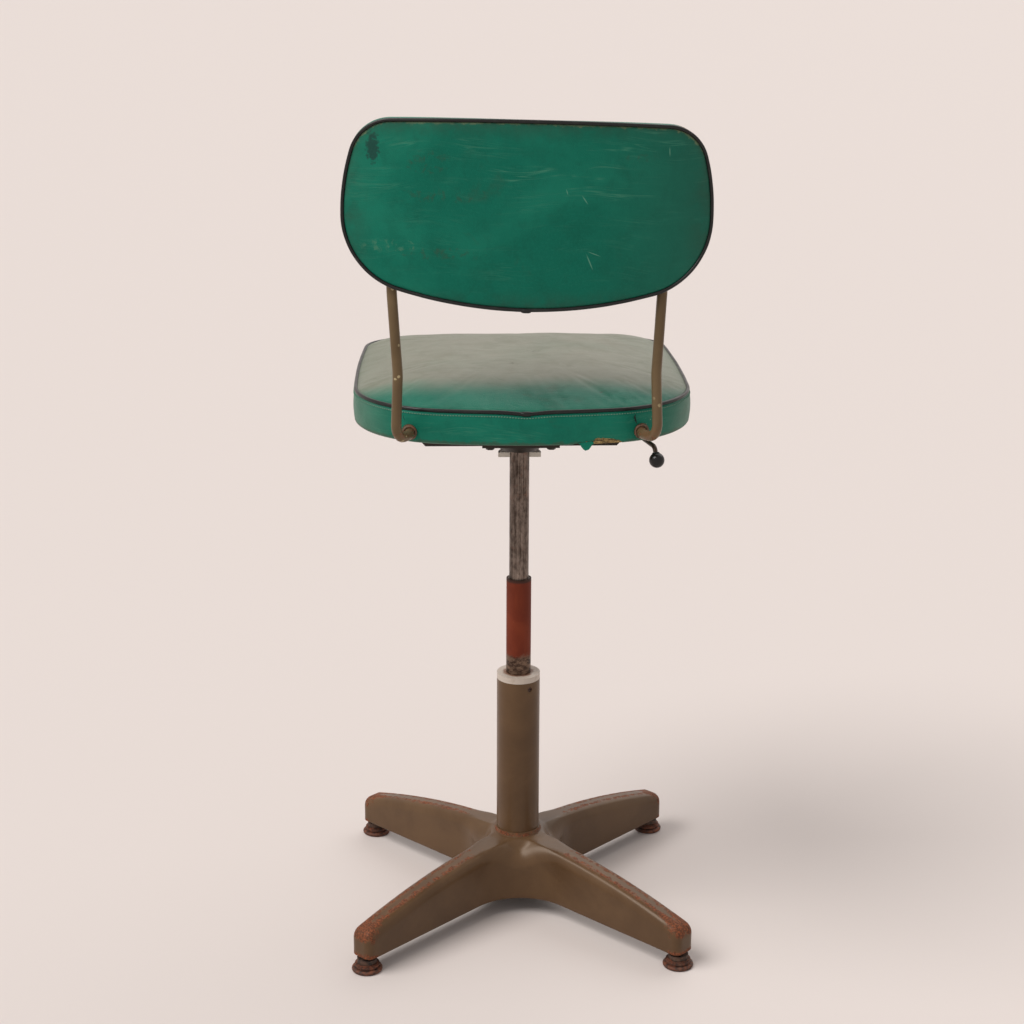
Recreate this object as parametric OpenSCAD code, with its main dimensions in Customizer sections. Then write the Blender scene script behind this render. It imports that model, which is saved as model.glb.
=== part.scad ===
// Drafting chair: four-leg base, two-stage column, swivel seat and a back on two tubes.
// Millimetres, +Z up, +Y to the back of the chair, origin on the floor under the column.

/* [Base] */
// Radius of the circle through the four feet
foot_circle_r = 276; // [240:1:340]
// How far a leg runs past its foot
leg_overhang = 12; // [10:1:20]
// Width of a leg at its outer end
leg_end_w = 34; // [32:1:42]
// Width of a leg at the hub
leg_hub_w = 37; // [36:1:50]
// Radius of the hollow between two legs
leg_fillet_r = 74; // [50:1:100]
// Radius of a leg's two outer corners
leg_corner_r = 10; // [6:1:14]
// Height of the legs at their outer ends
leg_end_z = 56; // [52:1:70]
// Height of the base at its middle
hub_z = 97; // [85:1:120]
// Wall of the casting
cast_wall = 4.5; // [4:0.5:6]
// Height of the casting's lower rim at the outer ends
rim_end_z = 21; // [18:1:24]
// How much higher the lower rim is at the middle
rim_rise = 1.5; // [0.5:0.5:8]
// Collar above the casting, round the column's foot
collar_h = 7; // [4:1:12]
// Wall of that collar outside the column
collar_wall = 1.6; // [1:0.2:4]

/* [Feet] */
// Diameter of a glide
glide_d = 38.5; // [32:0.5:42]
// Diameter of a glide's upper shoulder
glide_shoulder_d = 31; // [24:0.5:31]
// Height of a glide
glide_h = 11; // [9:0.5:12]
// Diameter of the foot's threaded stem
stem_d = 10; // [8:0.5:12]
// Diameter of the lock nut on the stem
foot_nut_d = 25; // [20:0.5:28]
// Height of that lock nut
foot_nut_h = 5.5; // [4:0.5:6]

/* [Column] */
// Outside diameter of the fixed outer tube
outer_d = 56; // [50:0.5:64]
// Wall of the outer tube
outer_wall = 3; // [2:0.5:4]
// Height of the outer tube's top
outer_top_z = 313.6; // [280:0.1:360]
// Thickness of the guide bush's rim
bush_rim_h = 7.6; // [5:0.1:12]
// Length of the guide bush inside the outer tube
bush_len = 48; // [30:1:60]
// Diameter of the bush's set screw
set_screw_d = 6; // [4:0.5:8]
// Outside diameter of the middle tube
middle_d = 32; // [28:0.5:38]
// Bore of the middle tube
middle_bore_d = 27.2; // [26.4:0.1:28]
// Height of the middle tube's top
middle_top_z = 450; // [420:1:480]
// Length of the middle tube
middle_len = 245; // [220:1:260]
// Length of the guide at the middle tube's foot
middle_guide_len = 25; // [15:1:30]
// Diameter of the spindle
spindle_d = 25; // [22:0.1:25.6]
// Height of the spindle's shoulder
spindle_top_z = 620.3; // [590:0.1:650]
// Length of the spindle below its shoulder
spindle_len = 260; // [230:1:280]
// Length of the spindle's bush in the middle tube
spindle_bush_len = 40; // [25:1:50]
// Length of the stop collar at the spindle's foot
stop_len = 12; // [8:1:16]
// Diameter of the spindle's neck
neck_d = 20; // [16:0.5:21]
// Running clearance between a shaft and its bore, on the radius
running_gap = 0.08; // [0.03:0.01:0.1]

/* [Seat] */
// Width of the seat
seat_w = 408; // [360:1:460]
// How far the seat reaches forward of the column
seat_front = 230; // [200:1:260]
// How far the seat reaches behind the column
seat_back = 199; // [185:1:230]
// Bow radius of the seat's front edge
seat_front_bow_r = 1100; // [800:10:1600]
// Bow radius of the seat's back edge
seat_back_bow_r = 520; // [450:10:700]
// Radius of the seat's two front corners
seat_front_corner_r = 62; // [50:1:90]
// Radius of the seat's two back corners
seat_back_corner_r = 125; // [100:1:140]
// Height of the seat's lower edge
seat_bottom_z = 677; // [660:1:700]
// Height of the seat's side band
boxing_h = 37.5; // [34:0.5:50]
// Height of the seat's crown above its piping
seat_crown_h = 19; // [12:1:30]
// Height of the wooden seat frame
frame_h = 24; // [22:1:26]
// Width of the wooden seat frame's rails
frame_rail_w = 30; // [26:1:40]
// Thickness of the plywood deck
deck_t = 6; // [4:1:8]
// Thickness of the vinyl
vinyl_t = 1.5; // [1:0.1:2]
// Diameter of the piping
piping_d = 5; // [4:0.1:6]

/* [Under the seat] */
// Side of the square hub plate
hub_plate_w = 96; // [92:1:110]
// Thickness of the hub plate and of the support bars
plate_t = 4; // [3:0.5:5]
// Distance from the column to a plate bolt, along X and along Y
bolt_offset = 38; // [36:1:42]
// Diameter of the dish under the hub plate, where it meets the plate
dish_d = 70; // [56:1:76]
// Diameter of the dish's flat bottom
dish_bottom_d = 50; // [42:1:54]
// Depth of that dish
dish_h = 12; // [8:1:14]
// Thickness of the thrust washer between spindle and dish
washer_t = 2; // [1:0.5:3]
// Diameter of the pale horseshoe clip round the spindle
horseshoe_d = 54; // [48:1:60]
// Thickness of the horseshoe clip
horseshoe_t = 6; // [4:0.1:8]
// Gap between the horseshoe clip and the dish
horseshoe_gap = 5.5; // [1:0.5:10]
// Outside diameter of the socket that turns on the spindle's neck
socket_d = 32; // [28:1:36]
// Width of a support bar
bar_w = 28; // [24:1:32]
// Half length of a support bar's lower part
bar_low_half = 118; // [100:1:125]
// Diameter of the plate bolts
bolt_d = 8; // [6:1:8]

/* [Back tubes] */
// Diameter of the back tubes
tube_d = 12; // [10:0.5:12.5]
// Outside diameter of the sleeves
sleeve_d = 18; // [16:0.5:18.5]
// Distance of a sleeve from the middle of the chair
sleeve_x = 135; // [125:1:140]
// Height of the sleeves
sleeve_z = 690; // [689:0.5:692]
// Length of the sleeves
sleeve_len = 117; // [100:1:120]
// How far a sleeve stands out behind the seat's side band
ferrule_out = 8; // [4:1:14]
// Distance of a tube's upright from the middle of the chair
upright_x = 148; // [142:1:152]
// Distance between the top of a tube and the middle of the chair
tube_top_x = 153; // [148:1:156]
// How far behind the column the tubes stand at the bottom
upright_y = 219; // [212:1:224]
// Bend radius of the tubes, on their centre line
tube_bend_r = 17; // [13:1:20]

/* [Back] */
// Width of the back
back_w = 419; // [380:1:440]
// Height of the back's lower edge
back_low_z = 840.5; // [820:0.5:870]
// Height of the back's upper edge
back_high_z = 1052.5; // [1030:0.5:1090]
// Height at which the back is widest
back_wide_z = 953; // [940:1:965]
// Bow radius of the lower edge
back_low_bow_r = 580; // [500:10:700]
// Radius of the lower corners
back_low_corner_r = 86; // [75:1:95]
// Bow radius of the sides
back_side_bow_r = 272; // [240:1:320]
// Radius of the upper corners
back_high_corner_r = 48; // [40:1:60]
// Bow radius of the upper edge
back_high_bow_r = 3300; // [2500:100:5000]
// Radius of the curve that the back wraps round
back_curve_r = 650; // [550:5:800]
// How far behind the column the back's rear face is
back_rear_y = 231.5; // [225:0.5:240]
// Thickness of the rear panel
rear_panel_t = 3.8; // [3:0.1:5]
// Thickness of the wadding behind the board
wadding_t = 14; // [13.6:0.1:16]
// Thickness of the plywood back board
back_board_t = 8; // [6:0.5:10]
// Thickness of the foam in front of the board
back_foam_t = 24; // [16:1:30]

/* [Clamp lever] */
// How far behind the column the clamp screw stands
clamp_y = 130; // [124:1:130]
// Diameter of the clamp screw
clamp_screw_d = 6; // [5:0.5:8]
// Diameter of the lever rod
lever_d = 5.5; // [4.5:0.1:6]
// Diameter of the ball knob
ball_d = 18; // [15:0.5:20]

/* [Hidden] */

$fn = 64;
// Small gap that keeps two bodies, or a soft piece and its neighbour, apart
gap = 0.3;
// A little more than nothing, for cuts that run past a face
past = 1;

paint = "#6e5c46";
bare_steel = "#8c8680";
red_oxide = "#7d3723";
nylon = "#e6e2d8";
rust = "#8a4a2c";
black_steel = "#26231f";
green_vinyl = "#0f6b54";
grey_vinyl = "#857b70";
black_vinyl = "#1c1a18";
wood = "#c39b66";
foam = "#d9c07a";

// ---- outlines -------------------------------------------------------------------------------

// Where two circles meet, on the +X side: centres on p and q, radii rp and rq
function meet(p, rp, q, rq) =
    let (d = norm(q - p), a = (rp * rp - rq * rq + d * d) / (2 * d),
        h = sqrt(max(0, rp * rp - a * a)), u = (q - p) / d,
        m = p + a * u, n = [u[1], -u[0]], s = m + h * n, t = m - h * n)
    s[0] > t[0] ? s : t;

function heading(v) = atan2(v[1], v[0]);

// Right half of a rounded outline as tangent arcs [centre, radius, first angle, last angle].
// Each end is [edge, bow radius, corner radius]; the side is [half width, bow radius, height].
function half_arcs(low, high, side) =
    let (low_c = [0, low[0] + low[1]], high_c = [0, high[0] - high[1]],
        side_c = [side[0] - side[1], side[2]],
        low_corner = meet(low_c, low[1] - low[2], side_c, side[1] - low[2]),
        high_corner = meet(high_c, high[1] - high[2], side_c, side[1] - high[2]),
        a1 = heading(low_corner - low_c), a2 = heading(low_corner - side_c),
        a3 = heading(high_corner - side_c), a4 = heading(high_corner - high_c))
    [[low_c, low[1], -90, a1], [low_corner, low[2], a1, a2], [side_c, side[1], a2, a3],
        [high_corner, high[2], a3, a4], [high_c, high[1], a4, 90]];

// Points along one arc, moved inward by inset, without its last point
function arc_points(arc, inset, steps) =
    [for (i = [0 : steps - 1]) let (t = arc[2] + (arc[3] - arc[2]) * i / steps)
        arc[0] + (arc[1] - inset) * [cos(t), sin(t)]];

arc_steps = [6, 10, 6, 10, 6];

// The whole outline, moved inward by inset
function ring_points(arcs, inset) =
    let (right = [for (i = [0 : 4]) each arc_points(arcs[i], inset, arc_steps[i])],
        top = arcs[4][0] + [0, arcs[4][1] - inset], n = len(right))
    concat(right, [top], [for (i = [n - 1 : -1 : 1]) [-right[i][0], right[i][1]]]);

seat_arcs = half_arcs([-seat_front, seat_front_bow_r, seat_front_corner_r],
    [seat_back, seat_back_bow_r, seat_back_corner_r], [seat_w / 2, 2600, 0]);
back_arcs = half_arcs([back_low_z, back_low_bow_r, back_low_corner_r],
    [back_high_z, back_high_bow_r, back_high_corner_r], [back_w / 2, back_side_bow_r, back_wide_z]);

module seat_slab(inset, z0, z1) {
    translate([0, 0, z0]) linear_extrude(z1 - z0) polygon(ring_points(seat_arcs, inset));
}

// One crowned cushion over the seat's outline: it rises in three steps to a rounded top
module seat_pillow(inset, z0, z_edge, z_top) {
    rise = z_top - z_edge;
    hull() {
        seat_slab(inset, z0, z_edge);
        seat_slab(inset + 0.6 * rise, z0, z_edge + 0.45 * rise);
        seat_slab(inset + 2 * rise, z0, z_edge + 0.78 * rise);
        seat_slab(inset + 4.5 * rise, z0, z_top);
    }
}

// ---- back: layers between two upright cylinders ------------------------------------------------

back_centre_y = back_rear_y - back_curve_r;
panel_in_r = back_curve_r - rear_panel_t;
board_out_r = panel_in_r - wadding_t;
board_in_r = board_out_r - back_board_t;
foam_in_r = board_in_r - back_foam_t;
// The tubes lie on the back board
tube_line_r = board_out_r + tube_d / 2 + 0.1;
function on_curve(x, r) = back_centre_y + sqrt(r * r - x * x);

module back_prism(inset) {
    translate([0, back_rear_y + 30, 0]) rotate([90, 0, 0])
        linear_extrude(180) polygon(ring_points(back_arcs, inset));
}

module back_layer(r_in, r_out, inset) {
    intersection() {
        back_prism(inset);
        translate([0, back_centre_y, back_low_z - 10]) difference() {
            cylinder(r = r_out, h = back_high_z - back_low_z + 20, $fn = 256);
            translate([0, 0, -past])
                cylinder(r = r_in, h = back_high_z - back_low_z + 20 + 2 * past, $fn = 256);
        }
    }
}

// ---- tubes and rods ------------------------------------------------------------------------------

function unit(v) = v / norm(v);

// Moves the origin to p and turns X and Z onto u and w, which are square to each other
module placed(p, u, w) {
    v = cross(w, u);
    multmatrix([[u[0], v[0], w[0], p[0]], [u[1], v[1], w[1], p[1]], [u[2], v[2], w[2], p[2]], [0, 0, 0, 1]])
        children();
}

module straight(p, q, r) {
    w = unit(q - p);
    side = abs(w[2]) < 0.9 ? [0, 0, 1] : [1, 0, 0];
    placed(p, unit(cross(side, w)), w) cylinder(r = r, h = norm(q - p));
}

bend_steps = 7;
// Points of a route whose inner corners are rounded, each to its own radius in bends
function rounded(points, bends) = let (n = len(points))
    concat([points[0]], [for (i = [1 : n - 2])
        let (a = unit(points[i] - points[i - 1]), b = unit(points[i + 1] - points[i]),
            turned = acos(a * b), start = points[i] - bends[i - 1] * tan(turned / 2) * a,
            w = unit(cross(a, b)), toward = cross(w, a))
        each [for (k = [0 : bend_steps]) let (t = turned * k / bend_steps)
            start + bends[i - 1] * (sin(t) * a + (1 - cos(t)) * toward)]], [points[n - 1]]);

// Solid rod of radius r swept along an open list of points
module swept_rod(path, r) {
    sides = 16;
    n = len(path);
    t = [for (i = [0 : n - 1]) unit(path[min(i + 1, n - 1)] - path[max(i - 1, 0)])];
    u = [for (i = 0, d = unit(cross(t[0], [0.1, 1, 0.3])); i < n; i = i + 1,
        d = i < n ? unit(d - (d * t[i]) * t[i]) : d) d];
    rings = [for (i = [0 : n - 1], k = [0 : sides - 1]) let (a = 360 * k / sides)
        path[i] + r * (cos(a) * u[i] + sin(a) * cross(t[i], u[i]))];
    walls = [for (i = [0 : n - 2], k = [0 : sides - 1]) let (m = (k + 1) % sides, p = i * sides, q = p + sides)
        each [[p + k, q + m, p + m], [p + k, q + k, q + m]]];
    polyhedron(rings, concat(walls, [[for (k = [0 : sides - 1]) k],
        [for (k = [sides - 1 : -1 : 0]) (n - 1) * sides + k]]));
}

// A thin cord swept round a closed list of points: eight sides
module closed_cord(path, r) {
    sides = 8;
    n = len(path);
    rings = [for (i = [0 : n - 1]) let (t = unit(path[(i + 1) % n] - path[(i + n - 1) % n]),
        u = unit(cross(t, [0, 0, 1]) + cross(t, [0, 1, 0]) * 0.001), v = cross(t, u))
        each [for (k = [0 : sides - 1]) let (a = 360 * k / sides)
            path[i] + r * (cos(a) * u + sin(a) * v)]];
    faces = [for (i = [0 : n - 1], k = [0 : sides - 1]) let (j = (i + 1) % n, m = (k + 1) % sides)
        each [[i * sides + k, j * sides + m, i * sides + m],
            [i * sides + k, j * sides + k, j * sides + m]]];
    polyhedron(rings, faces);
}

// ---- base ------------------------------------------------------------------------------------------

leg_end_r = foot_circle_r + leg_overhang;
collar_top_z = hub_z + collar_h;
column_foot_z = rim_end_z + rim_rise + cast_wall;
foot_at = foot_circle_r * cos(45);

module each_foot() {
    for (sx = [-1, 1], sy = [-1, 1]) translate([sx * foot_at, sy * foot_at, 0]) children();
}

// The hollows' circles bite this far into a leg's side, so that they cross it
blend_in = 0.02;

// Plan of the four legs with hollows between them, moved inward by inset
module star_plan(inset) {
    w_end = leg_end_w / 2 - inset;
    w_hub = leg_hub_w / 2 - inset;
    reach = leg_end_r - inset;
    corner = max(1, leg_corner_r - inset);
    fillet = leg_fillet_r + inset;
    taper = atan((w_hub - w_end) / reach);
    c = (fillet / cos(taper) + w_hub) / (1 + tan(taper));
    touch = [c - fillet * sin(taper), c - fillet * cos(taper)];
    for (a = [45 : 90 : 315]) rotate(a) {
        polygon([[0, -w_hub], [reach - corner, -w_end], [reach - corner, w_end], [0, w_hub]]);
        translate([reach - corner - past, -w_end + corner]) square([corner + past, 2 * (w_end - corner)]);
        for (s = [-1, 1]) translate([reach - corner, s * (w_end - corner)]) circle(r = corner);
        difference() {
            polygon([[0, 0], touch, [c, c], [touch[1], touch[0]]]);
            translate([c, c]) circle(r = fillet + blend_in);
        }
    }
}

// Solid of revolution under a shallow arch: z_mid high in the middle, z_end at the leg ends
module arch(z_mid, z_end, z_floor) {
    steps = 12;
    reach = leg_end_r + 2 * past;
    function z_at(r) = z_mid - (z_mid - z_end) * pow(r / leg_end_r, 2);
    rotate_extrude($fn = 128) polygon(concat([[0, z_floor]], [[reach, z_floor]],
        [for (i = [steps : -1 : 0]) [reach * i / steps, z_at(reach * i / steps)]]));
}

module base_star() color(paint) difference() {
    union() {
        difference() {
            intersection() {
                linear_extrude(hub_z + past) star_plan(0);
                arch(hub_z, leg_end_z, 0);
            }
            intersection() {
                translate([0, 0, -past]) linear_extrude(hub_z) star_plan(cast_wall);
                arch(hub_z - cast_wall, leg_end_z - cast_wall, -2 * past);
            }
        }
        translate([0, 0, column_foot_z - cast_wall])
            cylinder(d = outer_d + 2 * cast_wall, h = hub_z - column_foot_z);
        cylinder(d = outer_d + 2 * collar_wall, h = collar_top_z);
        each_foot() cylinder(d = stem_d + 2 * cast_wall, h = leg_end_z - cast_wall / 2);
    }
    arch(rim_end_z + rim_rise, rim_end_z, -3 * past);
    translate([0, 0, column_foot_z]) cylinder(d = outer_d, h = hub_z + collar_h);
    each_foot() cylinder(d = stem_d, h = leg_end_z - 2 * cast_wall);
}

module foot_stems() color(black_steel) each_foot() {
    head_z = 2.5;
    translate([0, 0, head_z]) cylinder(d = stem_d + 6, h = 2.5);
    translate([0, 0, head_z]) cylinder(d = stem_d, h = leg_end_z - 2 * cast_wall - head_z - 2);
}

module foot_nuts() color(black_steel) each_foot() {
    translate([0, 0, glide_h + 0.6]) difference() {
        cylinder(d = foot_nut_d, h = foot_nut_h);
        translate([0, 0, -past]) cylinder(d = stem_d, h = foot_nut_h + 2 * past);
    }
}

// Turned cup: a wide rolled flange, a groove and a narrower shoulder, hollow for the stem's head
module glide() {
    r = glide_d / 2;
    s = glide_shoulder_d / 2;
    roll = 2.6;
    rotate_extrude() difference() {
        union() {
            square([r - roll, 2 * roll]);
            translate([r - roll, roll]) circle(r = roll);
            square([s - 1.5, glide_h]);
            translate([0, 6.6]) square([s, glide_h - 6.6 - 1.2]);
        }
        translate([-past, -past]) square([stem_d / 2 + 3.4 + past, past + 5.4]);
        translate([-past, -past]) square([stem_d / 2 + running_gap + past, glide_h + 2 * past]);
        translate([-r, -r]) square([r, 3 * r]);
    }
}

module glide_at(sx, sy) color(rust) translate([sx * foot_at, sy * foot_at, 0]) glide();

// ---- column ------------------------------------------------------------------------------------------

middle_foot_z = middle_top_z - middle_len;
spindle_foot_z = spindle_top_z - spindle_len;
washer_z = spindle_top_z + 0.2;
dish_z = washer_z + washer_t;
plate_z = dish_z + dish_h;
bar_z = plate_z + plate_t;
socket_top_z = seat_bottom_z - 9;
set_screw_z = outer_top_z - 9;
// The set screw is turned to one side of the back
set_screw_turn = 30;

module pipe(d, bore, z0, z1) {
    translate([0, 0, z0]) difference() {
        cylinder(d = d, h = z1 - z0);
        translate([0, 0, -past]) cylinder(d = bore, h = z1 - z0 + 2 * past);
    }
}

module toward_set_screw() {
    translate([0, 0, set_screw_z]) rotate([0, 0, set_screw_turn]) rotate([-90, 0, 0]) children();
}

module column_tube() color(paint) difference() {
    pipe(outer_d, outer_d - 2 * outer_wall, column_foot_z, outer_top_z);
    toward_set_screw() cylinder(d = set_screw_d + 0.6, h = outer_d);
}

module column_bush() color(nylon) difference() {
    union() {
        pipe(outer_d - 2 * outer_wall - 0.1, middle_d + 2 * running_gap, outer_top_z - bush_len, outer_top_z);
        pipe(outer_d, middle_d + 2 * running_gap, outer_top_z, outer_top_z + bush_rim_h);
    }
    toward_set_screw() cylinder(d = set_screw_d, h = outer_d);
}

module bush_screw() color(black_steel) toward_set_screw() difference() {
    translate([0, 0, middle_d / 2 + 1]) cylinder(d = set_screw_d, h = (outer_d - middle_d) / 2 - 2.2);
    translate([-set_screw_d, -0.5, outer_d / 2 - 2.4]) cube([2 * set_screw_d, 1, 3]);
}

module middle_tube() color(red_oxide) pipe(middle_d, middle_bore_d, middle_foot_z, middle_top_z);

module middle_guide() color(nylon) pipe(outer_d - 2 * outer_wall - 2 * running_gap, middle_d,
    middle_foot_z, middle_foot_z + middle_guide_len);

module spindle_bush() color(bare_steel) pipe(middle_bore_d, spindle_d + 2 * running_gap,
    middle_top_z - spindle_bush_len, middle_top_z);

module spindle() color(bare_steel) {
    translate([0, 0, spindle_foot_z]) cylinder(d = spindle_d, h = spindle_len - 1.5);
    translate([0, 0, spindle_top_z - 1.5]) cylinder(d1 = spindle_d, d2 = spindle_d - 3, h = 1.5);
    translate([0, 0, spindle_top_z]) cylinder(d = neck_d, h = socket_top_z + 5 - spindle_top_z);
}

module spindle_stop() color(bare_steel) pipe(middle_bore_d - 2 * running_gap, spindle_d,
    spindle_foot_z, spindle_foot_z + stop_len);

module spindle_clip() color(black_steel) pipe(neck_d + 7, neck_d, socket_top_z + gap, socket_top_z + gap + 2);

// ---- under the seat ------------------------------------------------------------------------------------

module thrust_washer() color(black_steel) pipe(neck_d + 3, neck_d + 2 * running_gap, washer_z, dish_z);

// Snapped round the spindle, open to the back
module horseshoe_clip() color(nylon) difference() {
    top_z = dish_z - horseshoe_gap;
    pipe(horseshoe_d, spindle_d, top_z - horseshoe_t, top_z);
    translate([-horseshoe_d, 3, top_z - 2 * horseshoe_t]) cube([2 * horseshoe_d, horseshoe_d, 3 * horseshoe_t]);
}

module at_bolts() {
    for (sx = [-1, 1], sy = [-1, 1]) translate([sx * bolt_offset, sy * bolt_offset, 0]) children();
}

module hub_plate() color(black_steel) difference() {
    union() {
        translate([0, 0, plate_z + plate_t / 2]) cube([hub_plate_w, hub_plate_w, plate_t], center = true);
        translate([0, 0, dish_z]) cylinder(d1 = dish_bottom_d, d2 = dish_d, h = dish_h);
        translate([0, 0, dish_z]) cylinder(d = socket_d, h = socket_top_z - dish_z);
    }
    translate([0, 0, dish_z - past]) cylinder(d = neck_d + 2 * running_gap, h = socket_top_z);
    at_bolts() translate([0, 0, plate_z - past]) cylinder(d = bolt_d, h = plate_t + 2 * past);
}

bolt_head_h = 3.8;
module plate_bolts() color(black_steel) at_bolts() {
    translate([0, 0, plate_z - bolt_head_h]) cylinder(d = 1.35 * bolt_d, h = bolt_head_h, $fn = 6);
    translate([0, 0, plate_z]) cylinder(d = bolt_d, h = 2 * plate_t + 9);
}

module plate_nuts() color(black_steel) at_bolts() translate([0, 0, bar_z + plate_t]) difference() {
    cylinder(d = 1.6 * bolt_d, h = 6.5, $fn = 6);
    translate([0, 0, -past]) cylinder(d = bolt_d, h = 6.5 + 2 * past);
}

frame_z = seat_bottom_z + vinyl_t + 0.5;
bar_end_x = seat_w / 2 - 19;
bar_screw_x = seat_w / 2 - 27;

// Flat bar, low over the hub plate and cranked up to the seat frame at both ends
module support_bar(y) color(black_steel) difference() {
    translate([0, y + bar_w / 2, 0]) rotate([90, 0, 0]) linear_extrude(bar_w) polygon(concat(
        [[-bar_end_x, frame_z - plate_t], [-bar_low_half - 34, frame_z - plate_t], [-bar_low_half, bar_z],
            [bar_low_half, bar_z], [bar_low_half + 34, frame_z - plate_t], [bar_end_x, frame_z - plate_t]],
        [[bar_end_x, frame_z], [bar_low_half + 31, frame_z], [bar_low_half - 3, bar_z + plate_t],
            [-bar_low_half + 3, bar_z + plate_t], [-bar_low_half - 31, frame_z], [-bar_end_x, frame_z]]));
    for (s = [-1, 1]) {
        translate([s * bolt_offset, y, bar_z - past]) cylinder(d = bolt_d, h = plate_t + 2 * past);
        translate([s * bar_screw_x, y, frame_z - plate_t - past]) cylinder(d = 5, h = plate_t + 2 * past);
    }
}

module at_bar_screws() {
    for (sx = [-1, 1], sy = [-1, 1]) translate([sx * bar_screw_x, sy * bolt_offset, frame_z - plate_t])
        children();
}

module bar_screws() color(bare_steel) at_bar_screws() {
    translate([0, 0, -2.4]) cylinder(d = 9, h = 2.4);
    cylinder(d = 5, h = plate_t + 14);
}

sleeve_end_y = seat_edge_y(sleeve_x) + ferrule_out;
sleeve_start_y = sleeve_end_y - sleeve_len;
rail_y = sleeve_start_y + 8;
rail_depth = 20;
// Where the seat's back corner lies at distance x from the middle
function seat_edge_y(x) = let (arc = seat_arcs[3]) arc[0][1] + sqrt(pow(arc[1], 2) - pow(x - arc[0][0], 2));

module along_sleeve(side, d, y0, y1) {
    translate([side * sleeve_x, y0, sleeve_z]) rotate([-90, 0, 0]) cylinder(d = d, h = y1 - y0);
}

module cross_rail() color(black_steel) union() {
    low_z = frame_z - plate_t;
    inner = seat_w / 2 - frame_rail_w - 12;
    translate([-bar_end_x, rail_y, low_z]) cube([2 * bar_end_x, rail_depth, plate_t]);
    translate([-inner, rail_y, low_z]) cube([2 * inner, rail_depth, sleeve_z - sleeve_d / 2 - low_z]);
}

module sleeve(side) color(rust) difference() {
    along_sleeve(side, sleeve_d, sleeve_start_y, sleeve_end_y);
    along_sleeve(side, tube_d + 2 * running_gap, sleeve_start_y - past, sleeve_end_y + past);
    if (side < 0) translate([-sleeve_x, clamp_y, sleeve_z - sleeve_d / 2 - past])
        cylinder(d = clamp_screw_d + 0.2, h = sleeve_d / 2);
}

clamp_size = 18;
clamp_foot_z = frame_z - 1.2;
module clamp_block() color(black_steel) difference() {
    translate([-sleeve_x - clamp_size / 2, clamp_y - clamp_size / 2, clamp_foot_z])
        cube([clamp_size, clamp_size, sleeve_z - sleeve_d / 4 - clamp_foot_z]);
    along_sleeve(-1, sleeve_d, sleeve_start_y, sleeve_end_y);
    translate([-sleeve_x, clamp_y, clamp_foot_z - past]) cylinder(d = clamp_screw_d, h = sleeve_d);
}

// ---- seat ------------------------------------------------------------------------------------------

piping_z = seat_bottom_z + boxing_h + piping_d / 2;
panel_edge_z = piping_z + piping_d / 2;
seat_top_z = piping_z + seat_crown_h;
// Everything inside the side band keeps clear of the piping
inside = piping_d + 0.2;

module seat_frame() color(wood) difference() {
    seat_slab(inside, frame_z, frame_z + frame_h);
    seat_slab(inside + frame_rail_w, frame_z - past, frame_z + frame_h + past);
    for (side = [-1, 1]) along_sleeve(side, sleeve_d, sleeve_start_y, sleeve_end_y + 20);
    translate([-sleeve_x - clamp_size / 2 - 1, clamp_y - clamp_size / 2 - 1, frame_z - past])
        cube([clamp_size + 2, clamp_size + 2, sleeve_z + 1 - frame_z]);
    at_bar_screws() cylinder(d = 5, h = plate_t + 15);
}

module seat_deck() color(wood) seat_slab(inside, frame_z + frame_h, frame_z + frame_h + deck_t);

foam_z = frame_z + frame_h + deck_t;
module seat_foam() color(foam)
    seat_pillow(inside, foam_z, panel_edge_z - 0.5, seat_top_z - vinyl_t - 0.2);

module seat_top_panel() color(grey_vinyl) difference() {
    seat_pillow(0.8, panel_edge_z + 0.1, panel_edge_z + 1.8, seat_top_z);
    seat_pillow(0.8 + vinyl_t, panel_edge_z - past, panel_edge_z + 0.3, seat_top_z - vinyl_t);
}

lip_w = 14;
module seat_boxing() color(green_vinyl) difference() {
    seat_slab(0, seat_bottom_z, seat_bottom_z + boxing_h - 0.1);
    seat_slab(vinyl_t, seat_bottom_z + vinyl_t, seat_bottom_z + boxing_h + past);
    seat_slab(lip_w, seat_bottom_z - past, seat_bottom_z + boxing_h);
    for (side = [-1, 1]) along_sleeve(side, sleeve_d + 0.4, sleeve_start_y, sleeve_end_y + 20);
}

// The piping's centre line lies this far inside the outline
piping_inset = piping_d / 2 - 0.6;
module seat_piping() color(black_vinyl) closed_cord(
    [for (p = ring_points(seat_arcs, piping_inset)) [p[0], p[1], piping_z]], piping_d / 2);

staple = [9, 0.9, 0.8];
module boxing_staples() color(bare_steel) {
    ring = ring_points(seat_arcs, lip_w / 2 + 1);
    for (i = [1 : 3 : len(ring) - 1]) {
        along = ring[(i + 1) % len(ring)] - ring[i - 1];
        translate([ring[i][0], ring[i][1], seat_bottom_z - staple[2] / 2]) rotate(heading(along))
            cube(staple, center = true);
    }
}

// ---- back tubes and back -------------------------------------------------------------------------------

tube_start_y = sleeve_start_y + 5;
tube_top_z = back_low_z + 145;
tube_enter_z = back_low_z + 18;
tube_bends = [tube_bend_r, tube_bend_r, 4 * tube_bend_r, 3 * tube_bend_r];

function tube_route(side) = [[side * sleeve_x, tube_start_y, sleeve_z],
    [side * sleeve_x, sleeve_end_y + tube_bend_r / 2, sleeve_z],
    [side * (upright_x + 2), upright_y, sleeve_z],
    [side * (upright_x - 1), upright_y - 4, (sleeve_z + tube_enter_z) / 2 - 8],
    [side * tube_top_x, on_curve(tube_top_x, tube_line_r), tube_enter_z],
    [side * tube_top_x, on_curve(tube_top_x, tube_line_r), tube_top_z]];

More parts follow.
